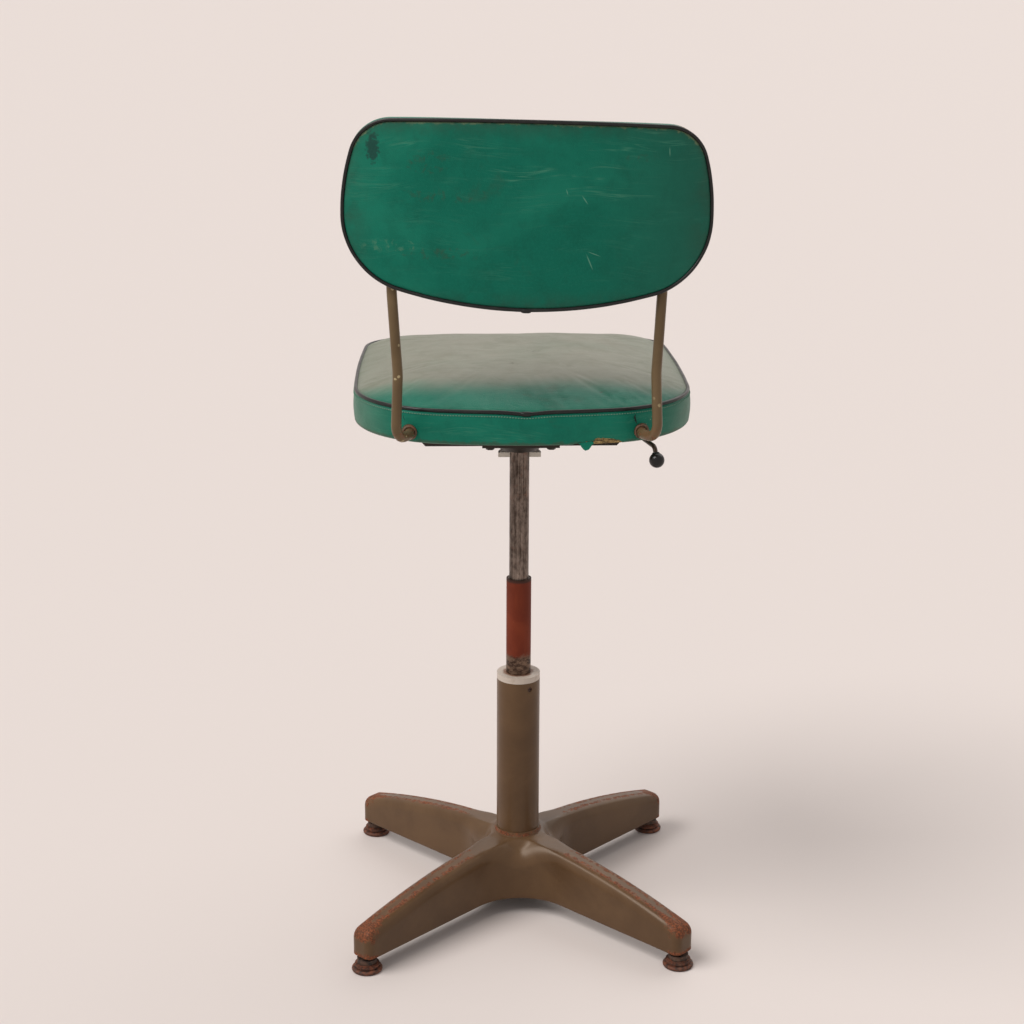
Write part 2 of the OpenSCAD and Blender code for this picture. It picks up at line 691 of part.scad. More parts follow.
// The sliding length is a true cylinder; the bent length starts inside it
module back_tube(side) color(paint) {
    route = tube_route(side);
    slide_end = route[1] - [0, tube_bend_r / 2, 0];
    straight(route[0], slide_end, tube_d / 2);
    bent = concat([slide_end - [0, 2, 0]], [for (i = [1 : len(route) - 1]) route[i]]);
    swept_rod(rounded(bent, tube_bends), tube_d / 2 - 0.02);
}

strap_t = 1.2;
strap_h = 14;
saddle_z = [tube_enter_z + 26, tube_top_z - 14];
ear_x = tube_d / 2 + 7;
// Puts its children on a tube's line, with +Y square to the curve of the board
module at_saddles() {
    for (side = [-1, 1], z = saddle_z)
        translate([side * tube_top_x, on_curve(tube_top_x, tube_line_r), z])
            rotate(-side * asin(tube_top_x / tube_line_r)) children();
}

module tube_saddles() color(bare_steel) at_saddles() difference() {
    union() {
        cylinder(r = tube_d / 2 + strap_t, h = strap_h, center = true);
        translate([-ear_x - 4, -tube_d / 2, -strap_h / 2]) cube([2 * (ear_x + 4), strap_t, strap_h]);
    }
    cylinder(r = tube_d / 2, h = strap_h + 2 * past, center = true);
    translate([0.2 - tube_d / 2, -2 * tube_d, -strap_h]) cube([tube_d - 0.4, 2 * tube_d, 2 * strap_h]);
    translate([-tube_d, -2 * tube_d, -strap_h]) cube([2 * tube_d, 1.5 * tube_d, 2 * strap_h]);
    for (s = [-1, 1]) translate([s * ear_x, 0, 0]) rotate([90, 0, 0]) cylinder(d = 3, h = 30, center = true);
}

module saddle_screws() color(bare_steel) at_saddles() {
    for (s = [-1, 1]) translate([s * ear_x, -tube_d / 2 + strap_t, 0]) {
        rotate([-90, 0, 0]) cylinder(d = 6, h = 1.8);
        rotate([90, 0, 0]) cylinder(d = 3, h = 7);
    }
}

// All the layers inside the back keep clear of the piping
back_inset = piping_d + 0.2;
module back_board() color(wood) difference() {
    back_layer(board_in_r, board_out_r, back_inset);
    at_saddles() for (s = [-1, 1]) translate([s * ear_x, 0, 0]) rotate([90, 0, 0])
        cylinder(d = 3, h = tube_d / 2 + 7);
    at_saddles() translate([-ear_x - 4.5, -tube_d / 2 - 0.7, -strap_h / 2 - 0.5])
        cube([2 * ear_x + 9, 3, strap_h + 1]);
}

module back_wadding() color(foam) difference() {
    back_layer(board_out_r + gap, panel_in_r - gap, back_inset);
    for (side = [-1, 1]) translate([side * tube_top_x, on_curve(tube_top_x, tube_line_r), back_low_z])
        rotate(-side * asin(tube_top_x / tube_line_r))
            translate([-ear_x - 7, -tube_d, -past]) cube([2 * ear_x + 14, 2 * tube_d, tube_top_z - back_low_z + 8]);
}

module back_foam() color(foam) back_layer(foam_in_r, board_in_r - gap, back_inset);

module back_cover() color(green_vinyl) difference() {
    back_layer(foam_in_r - gap - vinyl_t, panel_in_r - gap, 2);
    back_layer(foam_in_r - gap, back_curve_r, 2 + vinyl_t);
    for (side = [-1, 1]) translate([side * tube_top_x, on_curve(tube_top_x, tube_line_r), back_low_z - 5])
        cylinder(d = tube_d + 1, h = 60);
}

module rear_panel() color(green_vinyl) back_layer(panel_in_r, back_curve_r, back_inset);

back_piping_r = panel_in_r + piping_d / 2;
module back_piping() color(black_vinyl) closed_cord(
    [for (p = ring_points(back_arcs, piping_d / 2)) [p[0], on_curve(p[0], back_piping_r), p[1]]], piping_d / 2);

// ---- clamp lever ---------------------------------------------------------------------------------------

// The rod passes under the staples
lever_z = seat_bottom_z - staple[2] - gap - lever_d / 2;
lever_hub_h = 6.8;
lever_elbow = [-sleeve_x - 15, sleeve_end_y + 4, lever_z];
ball_at = [-sleeve_x - 17, sleeve_end_y + 12, lever_z - 14];
lever_axis = [-sleeve_x, clamp_y, lever_z];
hub_r = 6.5;

module clamp_screw() color(black_steel) translate([-sleeve_x, clamp_y, 0]) difference() {
    union() {
        translate([0, 0, lever_z - lever_hub_h / 2]) cylinder(r = hub_r, h = lever_hub_h);
        translate([0, 0, lever_z]) cylinder(d = clamp_screw_d - 0.2, h = sleeve_z - tube_d / 2 - gap - lever_z);
    }
    translate([0, 0, lever_z]) rotate([0, 90, heading([lever_elbow[0] + sleeve_x, lever_elbow[1] - clamp_y])])
        cylinder(d = lever_d, h = hub_r + past);
}

module lever_rod() color(black_steel) swept_rod(rounded([lever_axis + 1.5 * unit(lever_elbow - lever_axis),
    lever_elbow, ball_at + 5 * unit(lever_elbow - ball_at)], [8]), lever_d / 2);

module ball_knob() color(black_vinyl) difference() {
    translate(ball_at) sphere(d = ball_d);
    straight(ball_at + 5 * unit(lever_elbow - ball_at), ball_at + ball_d * unit(lever_elbow - ball_at), lever_d / 2);
}

base_star();
column_tube();
column_bush();
bush_screw();
foot_stems();
foot_nuts();
glide_at(1, -1);  // glide_front_left
glide_at(-1, -1);  // glide_front_right
glide_at(1, 1);  // glide_back_left
glide_at(-1, 1);  // glide_back_right
middle_tube();
middle_guide();
spindle_bush();
spindle();
spindle_stop();
spindle_clip();
horseshoe_clip();
thrust_washer();
hub_plate();
plate_bolts();
plate_nuts();
support_bar(-bolt_offset);  // support_bar_front
support_bar(bolt_offset);  // support_bar_rear
bar_screws();
cross_rail();
sleeve(1);  // sleeve_left
sleeve(-1);  // sleeve_right
clamp_block();
seat_frame();
seat_deck();
seat_foam();
seat_top_panel();
seat_boxing();
seat_piping();
boxing_staples();
back_tube(1);  // back_tube_left
back_tube(-1);  // back_tube_right
tube_saddles();
saddle_screws();
back_board();
back_wadding();
back_foam();
back_cover();
rear_panel();
back_piping();
clamp_screw();
lever_rod();
ball_knob();
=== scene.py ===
"""Drafting chair, as it looks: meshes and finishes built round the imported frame.

Metres, +Z up, +Y to the back of the chair, the column's axis on Z.
"""
import logging
import math
from dataclasses import dataclass, field
from enum import Enum
from typing import Callable, Iterable, Optional, Sequence

import bmesh
import bpy
import numpy as np
from mathutils import Matrix, Vector, noise


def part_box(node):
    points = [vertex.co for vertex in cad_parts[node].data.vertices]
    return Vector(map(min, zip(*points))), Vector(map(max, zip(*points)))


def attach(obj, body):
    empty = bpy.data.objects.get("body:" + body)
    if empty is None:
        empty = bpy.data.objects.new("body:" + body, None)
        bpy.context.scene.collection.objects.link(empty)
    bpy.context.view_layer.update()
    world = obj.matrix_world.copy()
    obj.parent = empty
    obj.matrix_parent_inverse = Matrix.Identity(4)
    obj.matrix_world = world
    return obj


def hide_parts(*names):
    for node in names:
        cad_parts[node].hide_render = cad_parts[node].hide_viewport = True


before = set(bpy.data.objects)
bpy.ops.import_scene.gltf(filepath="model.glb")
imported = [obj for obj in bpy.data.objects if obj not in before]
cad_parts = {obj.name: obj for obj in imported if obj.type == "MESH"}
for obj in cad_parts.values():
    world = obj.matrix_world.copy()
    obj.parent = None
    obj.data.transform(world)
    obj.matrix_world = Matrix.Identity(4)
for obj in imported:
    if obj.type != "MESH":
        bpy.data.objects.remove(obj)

LOG = logging.getLogger("drafting_chair")
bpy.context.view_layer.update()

Colour = tuple[float, float, float, float]
Sockets = dict[str, object]


def srgb(red: int, green: int, blue: int) -> Colour:
    """Turn a colour as seen on a screen into the linear colour that a shader takes.

    Args:
        red: From 0 to 255.
        green: From 0 to 255.
        blue: From 0 to 255.

    Returns:
        Linear red, green and blue, and 1 for alpha.
    """
    def linear(v: float) -> float:
        """Undo the screen's curve for one channel."""
        v /= 255
        return v / 12.92 if v <= 0.04045 else ((v + 0.055) / 1.055) ** 2.4
    return (linear(red), linear(green), linear(blue), 1.0)


def smooth(value: float | np.ndarray, low: float, high: float) -> float | np.ndarray:
    """Ease from 0 at low to 1 at high.

    Args:
        value: A number or an array.
        low: Where the ease starts.
        high: Where it ends.

    Returns:
        The eased number or array, from 0 to 1.
    """
    t = np.clip((value - low) / (high - low), 0, 1)
    return t * t * (3 - 2 * t)


# ---- meshes ----------------------------------------------------------------------------------


class Cap(Enum):
    """How a stack of rings is closed at one end."""

    NONE = "open"
    POINT = "fan to the ring's middle"


def make_piece(name: str, verts: Sequence, faces: Sequence, sharp_deg: float = 40) -> bpy.types.Object:
    """Make a smooth-shaded mesh object whose steep edges stay sharp.

    Args:
        name: The piece's name.
        verts: Points in metres.
        faces: Corner numbers of each face.
        sharp_deg: Edges that turn by more than this stay sharp.

    Returns:
        The new object, linked to the scene.
    """
    mesh = bpy.data.meshes.new(name)
    mesh.from_pydata([tuple(v) for v in verts], [], [tuple(f) for f in faces])
    work = bmesh.new()
    work.from_mesh(mesh)
    bmesh.ops.remove_doubles(work, verts=work.verts, dist=1e-7)
    bmesh.ops.recalc_face_normals(work, faces=work.faces)
    for face in work.faces:
        face.smooth = True
    for edge in work.edges:
        if len(edge.link_faces) == 2 and edge.calc_face_angle(0) > math.radians(sharp_deg):
            edge.smooth = False
    work.to_mesh(mesh)
    work.free()
    piece = bpy.data.objects.new(name, mesh)
    bpy.context.scene.collection.objects.link(piece)
    return piece


def ring_mesh(rings: Sequence[Sequence], start: Cap = Cap.NONE, end: Cap = Cap.NONE,
              loop: bool = False) -> tuple[list, list]:
    """Join rings of equal length with quads.

    Args:
        rings: Closed rings of points.
        start: How the first ring is closed.
        end: How the last ring is closed.
        loop: Join the last ring to the first.

    Returns:
        Points and faces.
    """
    count = len(rings[0])
    verts = [tuple(p) for ring in rings for p in ring]
    faces = []
    for i in range(len(rings) - (0 if loop else 1)):
        a, b = i * count, (i + 1) % len(rings) * count
        for k in range(count):
            m = (k + 1) % count
            faces.append((a + k, a + m, b + m, b + k))
    for cap, base in ((start, 0), (end, (len(rings) - 1) * count)):
        if cap is Cap.POINT:
            verts.append(tuple(np.mean(np.array(verts[base:base + count]), axis=0)))
            tip = len(verts) - 1
            faces += [(base + k, base + (k + 1) % count, tip) for k in range(count)]
    return verts, faces


def swept(path: Sequence[Vector], radii: Sequence[float], sides: int = 20,
          closed: bool = False) -> tuple[list, list]:
    """Sweep a round section along a path without twisting it.

    Args:
        path: Points of the centre line.
        radii: Radius at each point.
        sides: Points round the section.
        closed: The path is a loop.

    Returns:
        Points and faces.
    """
    n = len(path)
    rings = []
    across = None
    for i, p in enumerate(path):
        before = path[(i - 1) % n] if closed or i > 0 else p
        after = path[(i + 1) % n] if closed or i < n - 1 else p
        ahead = (after - before).normalized()
        if across is None:
            across = ahead.cross(Vector((0.1, 1, 0.3))).normalized()
        across = (across - ahead * across.dot(ahead)).normalized()
        other = ahead.cross(across)
        rings.append([p + (across * math.cos(a) + other * math.sin(a)) * radii[i]
                      for a in (2 * math.pi * k / sides for k in range(sides))])
    if closed:
        return ring_mesh(rings, loop=True)
    return ring_mesh(rings, Cap.POINT, Cap.POINT)


def turned(profile: Sequence[tuple[float, float]], centre: Vector, axis: Vector,
           sides: int = 64, loop: bool = True) -> tuple[list, list]:
    """Turn a profile of (radius, height) round an axis, as on a lathe.

    Args:
        profile: Radius and height of each point, in metres.
        centre: Where height is 0.
        axis: Direction of the axis.
        sides: Points round the axis.
        loop: The profile closes on itself.

    Returns:
        Points and faces.
    """
    axis = axis.normalized()
    across = axis.orthogonal().normalized()
    other = axis.cross(across)
    rings = [[centre + axis * h + (across * math.cos(a) + other * math.sin(a)) * max(r, 1e-5)
              for a in (2 * math.pi * k / sides for k in range(sides))] for r, h in profile]
    return ring_mesh(rings, loop=loop)


def rounded_path(points: Sequence[Vector], bends: Sequence[float], steps: int = 14) -> list[Vector]:
    """Round the inner corners of a route.

    Args:
        points: The route's corners.
        bends: Radius at each inner corner.
        steps: Pieces of each bend.

    Returns:
        Points of the rounded route.
    """
    out = [points[0]]
    for i in range(1, len(points) - 1):
        a = (points[i] - points[i - 1]).normalized()
        b = (points[i + 1] - points[i]).normalized()
        turn = a.angle(b)
        r = bends[i - 1]
        start = points[i] - a * (r * math.tan(turn / 2))
        toward = a.cross(b).normalized().cross(a)
        out += [start + (a * math.sin(t) + toward * (1 - math.cos(t))) * r
                for t in (turn * k / steps for k in range(steps + 1))]
    return out + [points[-1]]


def evenly(path: Sequence[Vector], step: float) -> list[Vector]:
    """Set points along a path at about the same distance apart.

    Args:
        path: The path's points.
        step: Distance between two points.

    Returns:
        The new points, with both ends kept.
    """
    at = [0.0]
    for a, b in zip(path, path[1:]):
        at.append(at[-1] + (b - a).length)
    count = max(2, round(at[-1] / step) + 1)
    wanted = np.linspace(0, at[-1], count)
    axes = [np.interp(wanted, at, [p[k] for p in path]) for k in range(3)]
    return [Vector(p) for p in zip(*axes)]


def set_mask(piece: bpy.types.Object, name: str, values: Iterable[float]) -> None:
    """Store a number at each point of a piece, for its finish to read.

    Args:
        piece: The piece.
        name: The mask's name.
        values: One number for each point.
    """
    layer = piece.data.attributes.new(name, "FLOAT", "POINT")
    layer.data.foreach_set("value", np.asarray(list(values), np.float32))


def points_of(piece: bpy.types.Object) -> np.ndarray:
    """Give the piece's points as an array of three columns."""
    flat = np.zeros(len(piece.data.vertices) * 3)
    piece.data.vertices.foreach_get("co", flat)
    return flat.reshape(-1, 3)


def swell(piece: bpy.types.Object, held: np.ndarray, pressure: float, cap: float) -> None:
    """Blow a cover up like a stuffed cushion with a cloth simulation and keep the result.

    Args:
        piece: The cover, whose points move.
        held: How firmly each point is held, from 0 to 1.
        pressure: Air pressure inside.
        cap: The furthest that a point may move.
    """
    start = points_of(piece)
    group = piece.vertex_groups.new(name="seam")
    for i, w in enumerate(held):
        if w > 0:
            group.add([i], float(w), "REPLACE")
    cloth = piece.modifiers.new("stuffing", "CLOTH")
    cloth.settings.quality = 6
    cloth.settings.mass = 0.4
    cloth.settings.tension_stiffness = 20
    cloth.settings.compression_stiffness = 20
    cloth.settings.bending_stiffness = 1.5
    cloth.settings.use_pressure = True
    cloth.settings.uniform_pressure_force = pressure
    cloth.settings.vertex_group_mass = group.name
    cloth.settings.effector_weights.gravity = 0
    cloth.collision_settings.use_collision = False
    scene = bpy.context.scene
    for step in range(1, 21):
        scene.frame_set(step)
    shown = piece.evaluated_get(bpy.context.evaluated_depsgraph_get())
    flat = np.zeros(len(shown.data.vertices) * 3)
    shown.data.vertices.foreach_get("co", flat)
    move = flat.reshape(-1, 3) - start
    size = np.linalg.norm(move, axis=1, keepdims=True) + 1e-9
    move *= cap * np.tanh(size / cap) / size
    piece.modifiers.remove(cloth)
    piece.vertex_groups.remove(group)
    piece.data.vertices.foreach_set("co", (start + move).ravel())
    piece.data.update()
    scene.frame_set(1)


@dataclass(frozen=True)
class Outline:
    """A rounded outline of tangent arcs, the same on both sides of the middle."""

    low: tuple[float, float, float]
    high: tuple[float, float, float]
    side: tuple[float, float, float]

    def arcs(self) -> list[tuple[np.ndarray, float, float, float]]:
        """Give the right half as (centre, radius, first angle, last angle)."""
        low_c = np.array([0, self.low[0] + self.low[1]])
        high_c = np.array([0, self.high[0] - self.high[1]])
        side_c = np.array([self.side[0] - self.side[1], self.side[2]])

        def meet(p: np.ndarray, rp: float, q: np.ndarray, rq: float) -> np.ndarray:
            """Find where two circles meet, on the +X side."""
            d = np.linalg.norm(q - p)
            a = (rp * rp - rq * rq + d * d) / (2 * d)
            h = math.sqrt(max(0.0, rp * rp - a * a))
            u = (q - p) / d
            s, t = (p + a * u + k * h * np.array([u[1], -u[0]]) for k in (1, -1))
            return s if s[0] > t[0] else t

        low_k = meet(low_c, self.low[1] - self.low[2], side_c, self.side[1] - self.low[2])
        high_k = meet(high_c, self.high[1] - self.high[2], side_c, self.side[1] - self.high[2])
        heading = [math.atan2(v[1], v[0]) for v in
                   (low_k - low_c, low_k - side_c, high_k - side_c, high_k - high_c)]
        half = math.pi / 2
        return [(low_c, self.low[1], -half, heading[0]), (low_k, self.low[2], heading[0], heading[1]),
                (side_c, self.side[1], heading[1], heading[2]),
                (high_k, self.high[2], heading[2], heading[3]), (high_c, self.high[1], heading[3], half)]

    def ring(self, count: int) -> tuple[np.ndarray, np.ndarray]:
        """Set points evenly round the outline.

        Args:
            count: How many points; an even number.

        Returns:
            The points and the outward direction at each, from the middle of the low edge towards +X.
        """
        arcs = self.arcs()
        ends = np.cumsum([0] + [r * (a1 - a0) for _, r, a0, a1 in arcs])
        half = count // 2
        points, outs = [], []
        for s in np.linspace(0, ends[-1], half + 1):
            i = min(int(np.searchsorted(ends, s, side="right")) - 1, 4)
            centre, r, a0, _ = arcs[i]
            a = a0 + (s - ends[i]) / r
            out = np.array([math.cos(a), math.sin(a)])
            points.append(centre + r * out)
            outs.append(out)
        flip = np.array([-1, 1])
        points += [points[i] * flip for i in range(half - 1, 0, -1)]
        outs += [outs[i] * flip for i in range(half - 1, 0, -1)]
        return np.array(points), np.array(outs)


# ---- node helpers ----------------------------------------------------------------------------


class Graph:
    """Short calls for building one node tree."""

    def __init__(self, tree: bpy.types.NodeTree) -> None:
        """Keep the tree."""
        self.tree = tree

    def add(self, kind: str, sockets: Optional[Sockets] = None, **settings: object) -> bpy.types.Node:
        """Add a node.

        Args:
            kind: The node's type.
            sockets: Values or other sockets for its inputs.
            **settings: Its properties.

        Returns:
            The node.
        """
        node = self.tree.nodes.new(kind)
        for name, value in settings.items():
            setattr(node, name, value)
        for name, value in (sockets or {}).items():
            if isinstance(value, bpy.types.NodeSocket):
                self.tree.links.new(value, node.inputs[name])
            else:
                node.inputs[name].default_value = value
        return node

    def math(self, how: str, a: object, b: object = 0.0) -> bpy.types.NodeSocket:
        """Do one sum.

        Args:
            how: The operation.
            a: First value.
            b: Second value.

        Returns:
            The result, clamped to 0 to 1 for masks where how starts with "+".
        """
        clamp = how.startswith("+")
        return self.add("ShaderNodeMath", {0: a, 1: b}, operation=how.lstrip("+"), use_clamp=clamp).outputs[0]

    def ease(self, value: object, low: object, high: object) -> bpy.types.NodeSocket:
        """Ease a value from 0 at low to 1 at high."""
        return self.add("ShaderNodeMapRange", {"Value": value, "From Min": low, "From Max": high},
                        interpolation_type="SMOOTHSTEP").outputs["Result"]

    def noise(self, vector: object, scale: object, detail: float = 3, rough: float = 0.55,
              warp: float = 0) -> bpy.types.NodeSocket:
        """Give a noise value for a position."""
        return self.add("ShaderNodeTexNoise", {"Vector": vector, "Scale": scale, "Detail": detail,
                        "Roughness": rough, "Distortion": warp}).outputs["Fac"]

    def mix(self, share: object, a: object, b: object) -> bpy.types.NodeSocket:
        """Mix two colours."""
        node = self.add("ShaderNodeMix", data_type="RGBA")
        for name, value in ((0, share), (6, a), (7, b)):
            if isinstance(value, bpy.types.NodeSocket):
                self.tree.links.new(value, node.inputs[name])
            else:
                node.inputs[name].default_value = value
        return node.outputs[2]

    def place(self) -> bpy.types.NodeSocket:
        """Give the point's position on the chair, in metres."""
        return self.add("ShaderNodeTexCoord").outputs["Object"]

    def stretched(self, vector: object, x: float, y: float, z: float) -> bpy.types.NodeSocket:
        """Scale a position along each axis."""
        return self.add("ShaderNodeVectorMath", {0: vector, 1: (x, y, z)}, operation="MULTIPLY").outputs[0]

    def mask(self, name: str) -> bpy.types.NodeSocket:
        """Read a mask that the mesh carries."""
        return self.add("ShaderNodeAttribute", attribute_name=name).outputs["Fac"]

    def effect(self, effect: "Effect", out: str = "Mask", **sockets: object) -> bpy.types.NodeSocket:
        """Place a shared effect and give one of its outputs."""
        node = self.add("ShaderNodeGroup", node_tree=effect.tree())
        for name, value in sockets.items():
            if isinstance(value, bpy.types.NodeSocket):
                self.tree.links.new(value, node.inputs[name])
            else:
                node.inputs[name].default_value = value
        return node.outputs[out]

    def near(self, place: object, x: float, z: float, wide: float, tall: float,
             ragged: float = 0.5) -> bpy.types.NodeSocket:
        """Mask a ragged patch round a point of the X-Z plane.

        Args:
            place: The position.
            x: Middle of the patch, across.
            z: Middle of the patch, up.
            wide: Half its width.
            tall: Half its height.
            ragged: How uneven its rim is.

        Returns:
            The mask.
        """
        moved = self.add("ShaderNodeVectorMath", {0: place, 1: (-x, 0, -z)}, operation="ADD").outputs[0]
        flat = self.stretched(moved, 1 / wide, 0, 1 / tall)
        far = self.add("ShaderNodeVectorMath", {0: flat}, operation="LENGTH").outputs["Value"]
        rough = self.math("MULTIPLY", self.noise(place, 260, 4), ragged * 2)
        return self.math("SUBTRACT", 1.0, self.ease(self.math("ADD", far, rough), 0.6 + ragged, 1.3 + ragged))


class Effect(Enum):
    """Shared surface effects, each a node group that is built once."""

    BLOTCHES = "blotches"
    SCRATCHES = "scratches"
    GRAIN = "leather_grain"
    WEAR = "edge_wear"
    SPECKS = "specks"

    def tree(self) -> bpy.types.NodeTree:
        """Give the node group, building it at first use."""
        found = bpy.data.node_groups.get(self.value)
        return found or getattr(EffectShop, self.value)(self.value)


def new_group(name: str, takes: dict[str, float], gives: str) -> tuple[Graph, bpy.types.Node, bpy.types.Node]:
    """Start a node group with number inputs and one number output.

    Args:
        name: The group's name.
        takes: Inputs and their usual values.
        gives: The output's name.

    Returns:
        The graph and its input and output nodes.
    """
    tree = bpy.data.node_groups.new(name, "ShaderNodeTree")
    for socket, value in takes.items():
        made = tree.interface.new_socket(name=socket, in_out="INPUT", socket_type="NodeSocketFloat")
        made.default_value = value
    tree.interface.new_socket(name=gives, in_out="OUTPUT", socket_type="NodeSocketFloat")
    graph = Graph(tree)
    return graph, graph.add("NodeGroupInput"), graph.add("NodeGroupOutput")


class EffectShop:
    """Builders of the shared effects."""

    @staticmethod
    def blotches(name: str) -> bpy.types.NodeTree:
        """Build soft uneven patches: Scale sets their size, Low and High how many there are."""
        g, takes, gives = new_group(name, {"Scale": 10, "Low": 0.4, "High": 0.7}, "Mask")
        n = g.noise(g.place(), takes.outputs["Scale"], 6, 0.6, 0.4)
        g.tree.links.new(g.ease(n, takes.outputs["Low"], takes.outputs["High"]), gives.inputs["Mask"])
        return g.tree

    @staticmethod
    def scratches(name: str) -> bpy.types.NodeTree:
        """Build long thin scratches along X: Thin sets their width, Amount how many there are.

        Args:
            name: The group's name.

        Returns:
            The node tree.
        """
        g, takes, gives = new_group(name, {"Thin": 0.01, "Amount": 0.5, "Pitch": 1.0}, "Mask")
        place = g.place()
        wave = g.add("ShaderNodeTexNoise", {"Vector": place, "Scale": 7.0, "Detail": 1.0}).outputs["Color"]
        bent = g.add("ShaderNodeVectorMath", {0: wave, 1: (0.0, 0.0, 0.05)}, operation="MULTIPLY_ADD")
        g.tree.links.new(place, bent.inputs[2])
        scaled = g.add("ShaderNodeVectorMath", {0: bent.outputs[0]}, operation="SCALE")
        g.tree.links.new(takes.outputs["Pitch"], scaled.inputs["Scale"])
        lines = g.noise(g.stretched(scaled.outputs[0], 5, 5, 95), 1.0, 2, 0.5)
        off = g.math("ABSOLUTE", g.math("SUBTRACT", lines, 0.5))
        thin = g.math("SUBTRACT", 1.0, g.ease(off, 0.0, takes.outputs["Thin"]))
        broken = g.noise(g.stretched(place, 14, 14, 60), 1.0, 3, 0.6)
        keep = g.ease(broken, g.math("SUBTRACT", 0.92, takes.outputs["Amount"]), 0.75)
        g.tree.links.new(g.math("MULTIPLY", thin, keep), gives.inputs["Mask"])
        return g.tree

    @staticmethod
    def leather_grain(name: str) -> bpy.types.NodeTree:
        """Build the pebbled grain of embossed vinyl.

        Args:
            name: The group's name.

        Returns:
            The node tree.
        """
        g, takes, gives = new_group(name, {"Scale": 900}, "Height")
        place = g.place()
        cells = g.add("ShaderNodeTexVoronoi", {"Vector": place, "Scale": takes.outputs["Scale"],
                      "Randomness": 1.0, "Smoothness": 0.6}, feature="SMOOTH_F1").outputs["Distance"]
        fine = g.noise(place, g.math("MULTIPLY", takes.outputs["Scale"], 1.7), 3)
        g.tree.links.new(g.math("ADD", g.math("MULTIPLY", cells, -1.0), g.math("MULTIPLY", fine, 0.5)),
                         gives.inputs["Height"])
        return g.tree

    @staticmethod
    def edge_wear(name: str) -> bpy.types.NodeTree:
        """Build ragged wear where Where is high."""
        g, takes, gives = new_group(name, {"Where": 0, "Scale": 90, "Amount": 0.5}, "Mask")
        n = g.noise(g.place(), takes.outputs["Scale"], 8, 0.7)
        level = g.math("ADD", g.math("MULTIPLY", takes.outputs["Where"], takes.outputs["Amount"]), n)
        g.tree.links.new(g.ease(level, 0.74, 0.92), gives.inputs["Mask"])
        return g.tree

    @staticmethod
    def specks(name: str) -> bpy.types.NodeTree:
        """Build scattered specks of uneven size: Size is the share of each cell that they fill.

        Args:
            name: The group's name.

        Returns:
            The node tree.
        """
        g, takes, gives = new_group(name, {"Scale": 120, "Size": 0.15}, "Mask")
        place = g.place()
        cell = g.add("ShaderNodeTexVoronoi", {"Vector": place, "Scale": takes.outputs["Scale"]})
        pick = g.math("MULTIPLY", g.math("POWER", g.noise(place, 35, 2), 3.0), 4.0)
        edge = g.math("ADD", cell.outputs["Distance"], g.math("MULTIPLY", g.noise(place, 900, 2), 0.12))
        size = g.math("MULTIPLY", takes.outputs["Size"], pick)
        g.tree.links.new(g.math("+LESS_THAN", edge, size), gives.inputs["Mask"])
        return g.tree


# ---- finishes --------------------------------------------------------------------------------


class Finish:
    """A surface finish that can be put on any piece."""

    name: str

    def build(self, g: Graph, shader: bpy.types.Node) -> None:
        """Wire the finish; each finish has its own."""
        raise NotImplementedError

    def material(self) -> bpy.types.Material:
        """Give the material, building it at first use."""
        name = "finish_" + self.name
        found = bpy.data.materials.get(name)
        if found:
            return found
        made = bpy.data.materials.new(name)
        made.use_nodes = True
        made.node_tree.nodes.clear()
        g = Graph(made.node_tree)
        shader = g.add("ShaderNodeBsdfPrincipled")
        out = g.add("ShaderNodeOutputMaterial")
        g.tree.links.new(shader.outputs[0], out.inputs["Surface"])
        self.build(g, shader)
        return made

    def put_on(self, piece: bpy.types.Object) -> None:
        """Cover the whole piece with this finish."""
        piece.data.materials.clear()
        piece.data.materials.append(self.material())


def wire(g: Graph, shader: bpy.types.Node, colour: object, rough: object, height: object = None,
         depth: float = 0.0002, **plain: float) -> None:
    """Join a finish's values to its shader.

    Args:
        g: The material's graph.
        shader: Its Principled BSDF.
        colour: Base colour.
        rough: Roughness.
        height: Relief for the bump, if any.
        depth: Depth of the relief in metres.
        **plain: Constants, named as the sockets with _ for a space.
    """
    for name, value in (("Base Color", colour), ("Roughness", rough)):
        if isinstance(value, bpy.types.NodeSocket):
            g.tree.links.new(value, shader.inputs[name])
        else:
            shader.inputs[name].default_value = value
    for name, value in plain.items():
        socket = shader.inputs[name.replace("_", " ")]
        if isinstance(value, bpy.types.NodeSocket):
            g.tree.links.new(value, socket)
        else:
            socket.default_value = value
    if height is not None:
        bump = g.add("ShaderNodeBump", {"Height": height, "Distance": depth, "Strength": 1.0})
        g.tree.links.new(bump.outputs[0], shader.inputs["Normal"])


class Cover(Enum):
    """The places where vinyl is worn in its own way."""

    REAR = "rear panel"
    FRONT = "front of the back"
    SIDE = "side band"
    SEAT = "seat top"


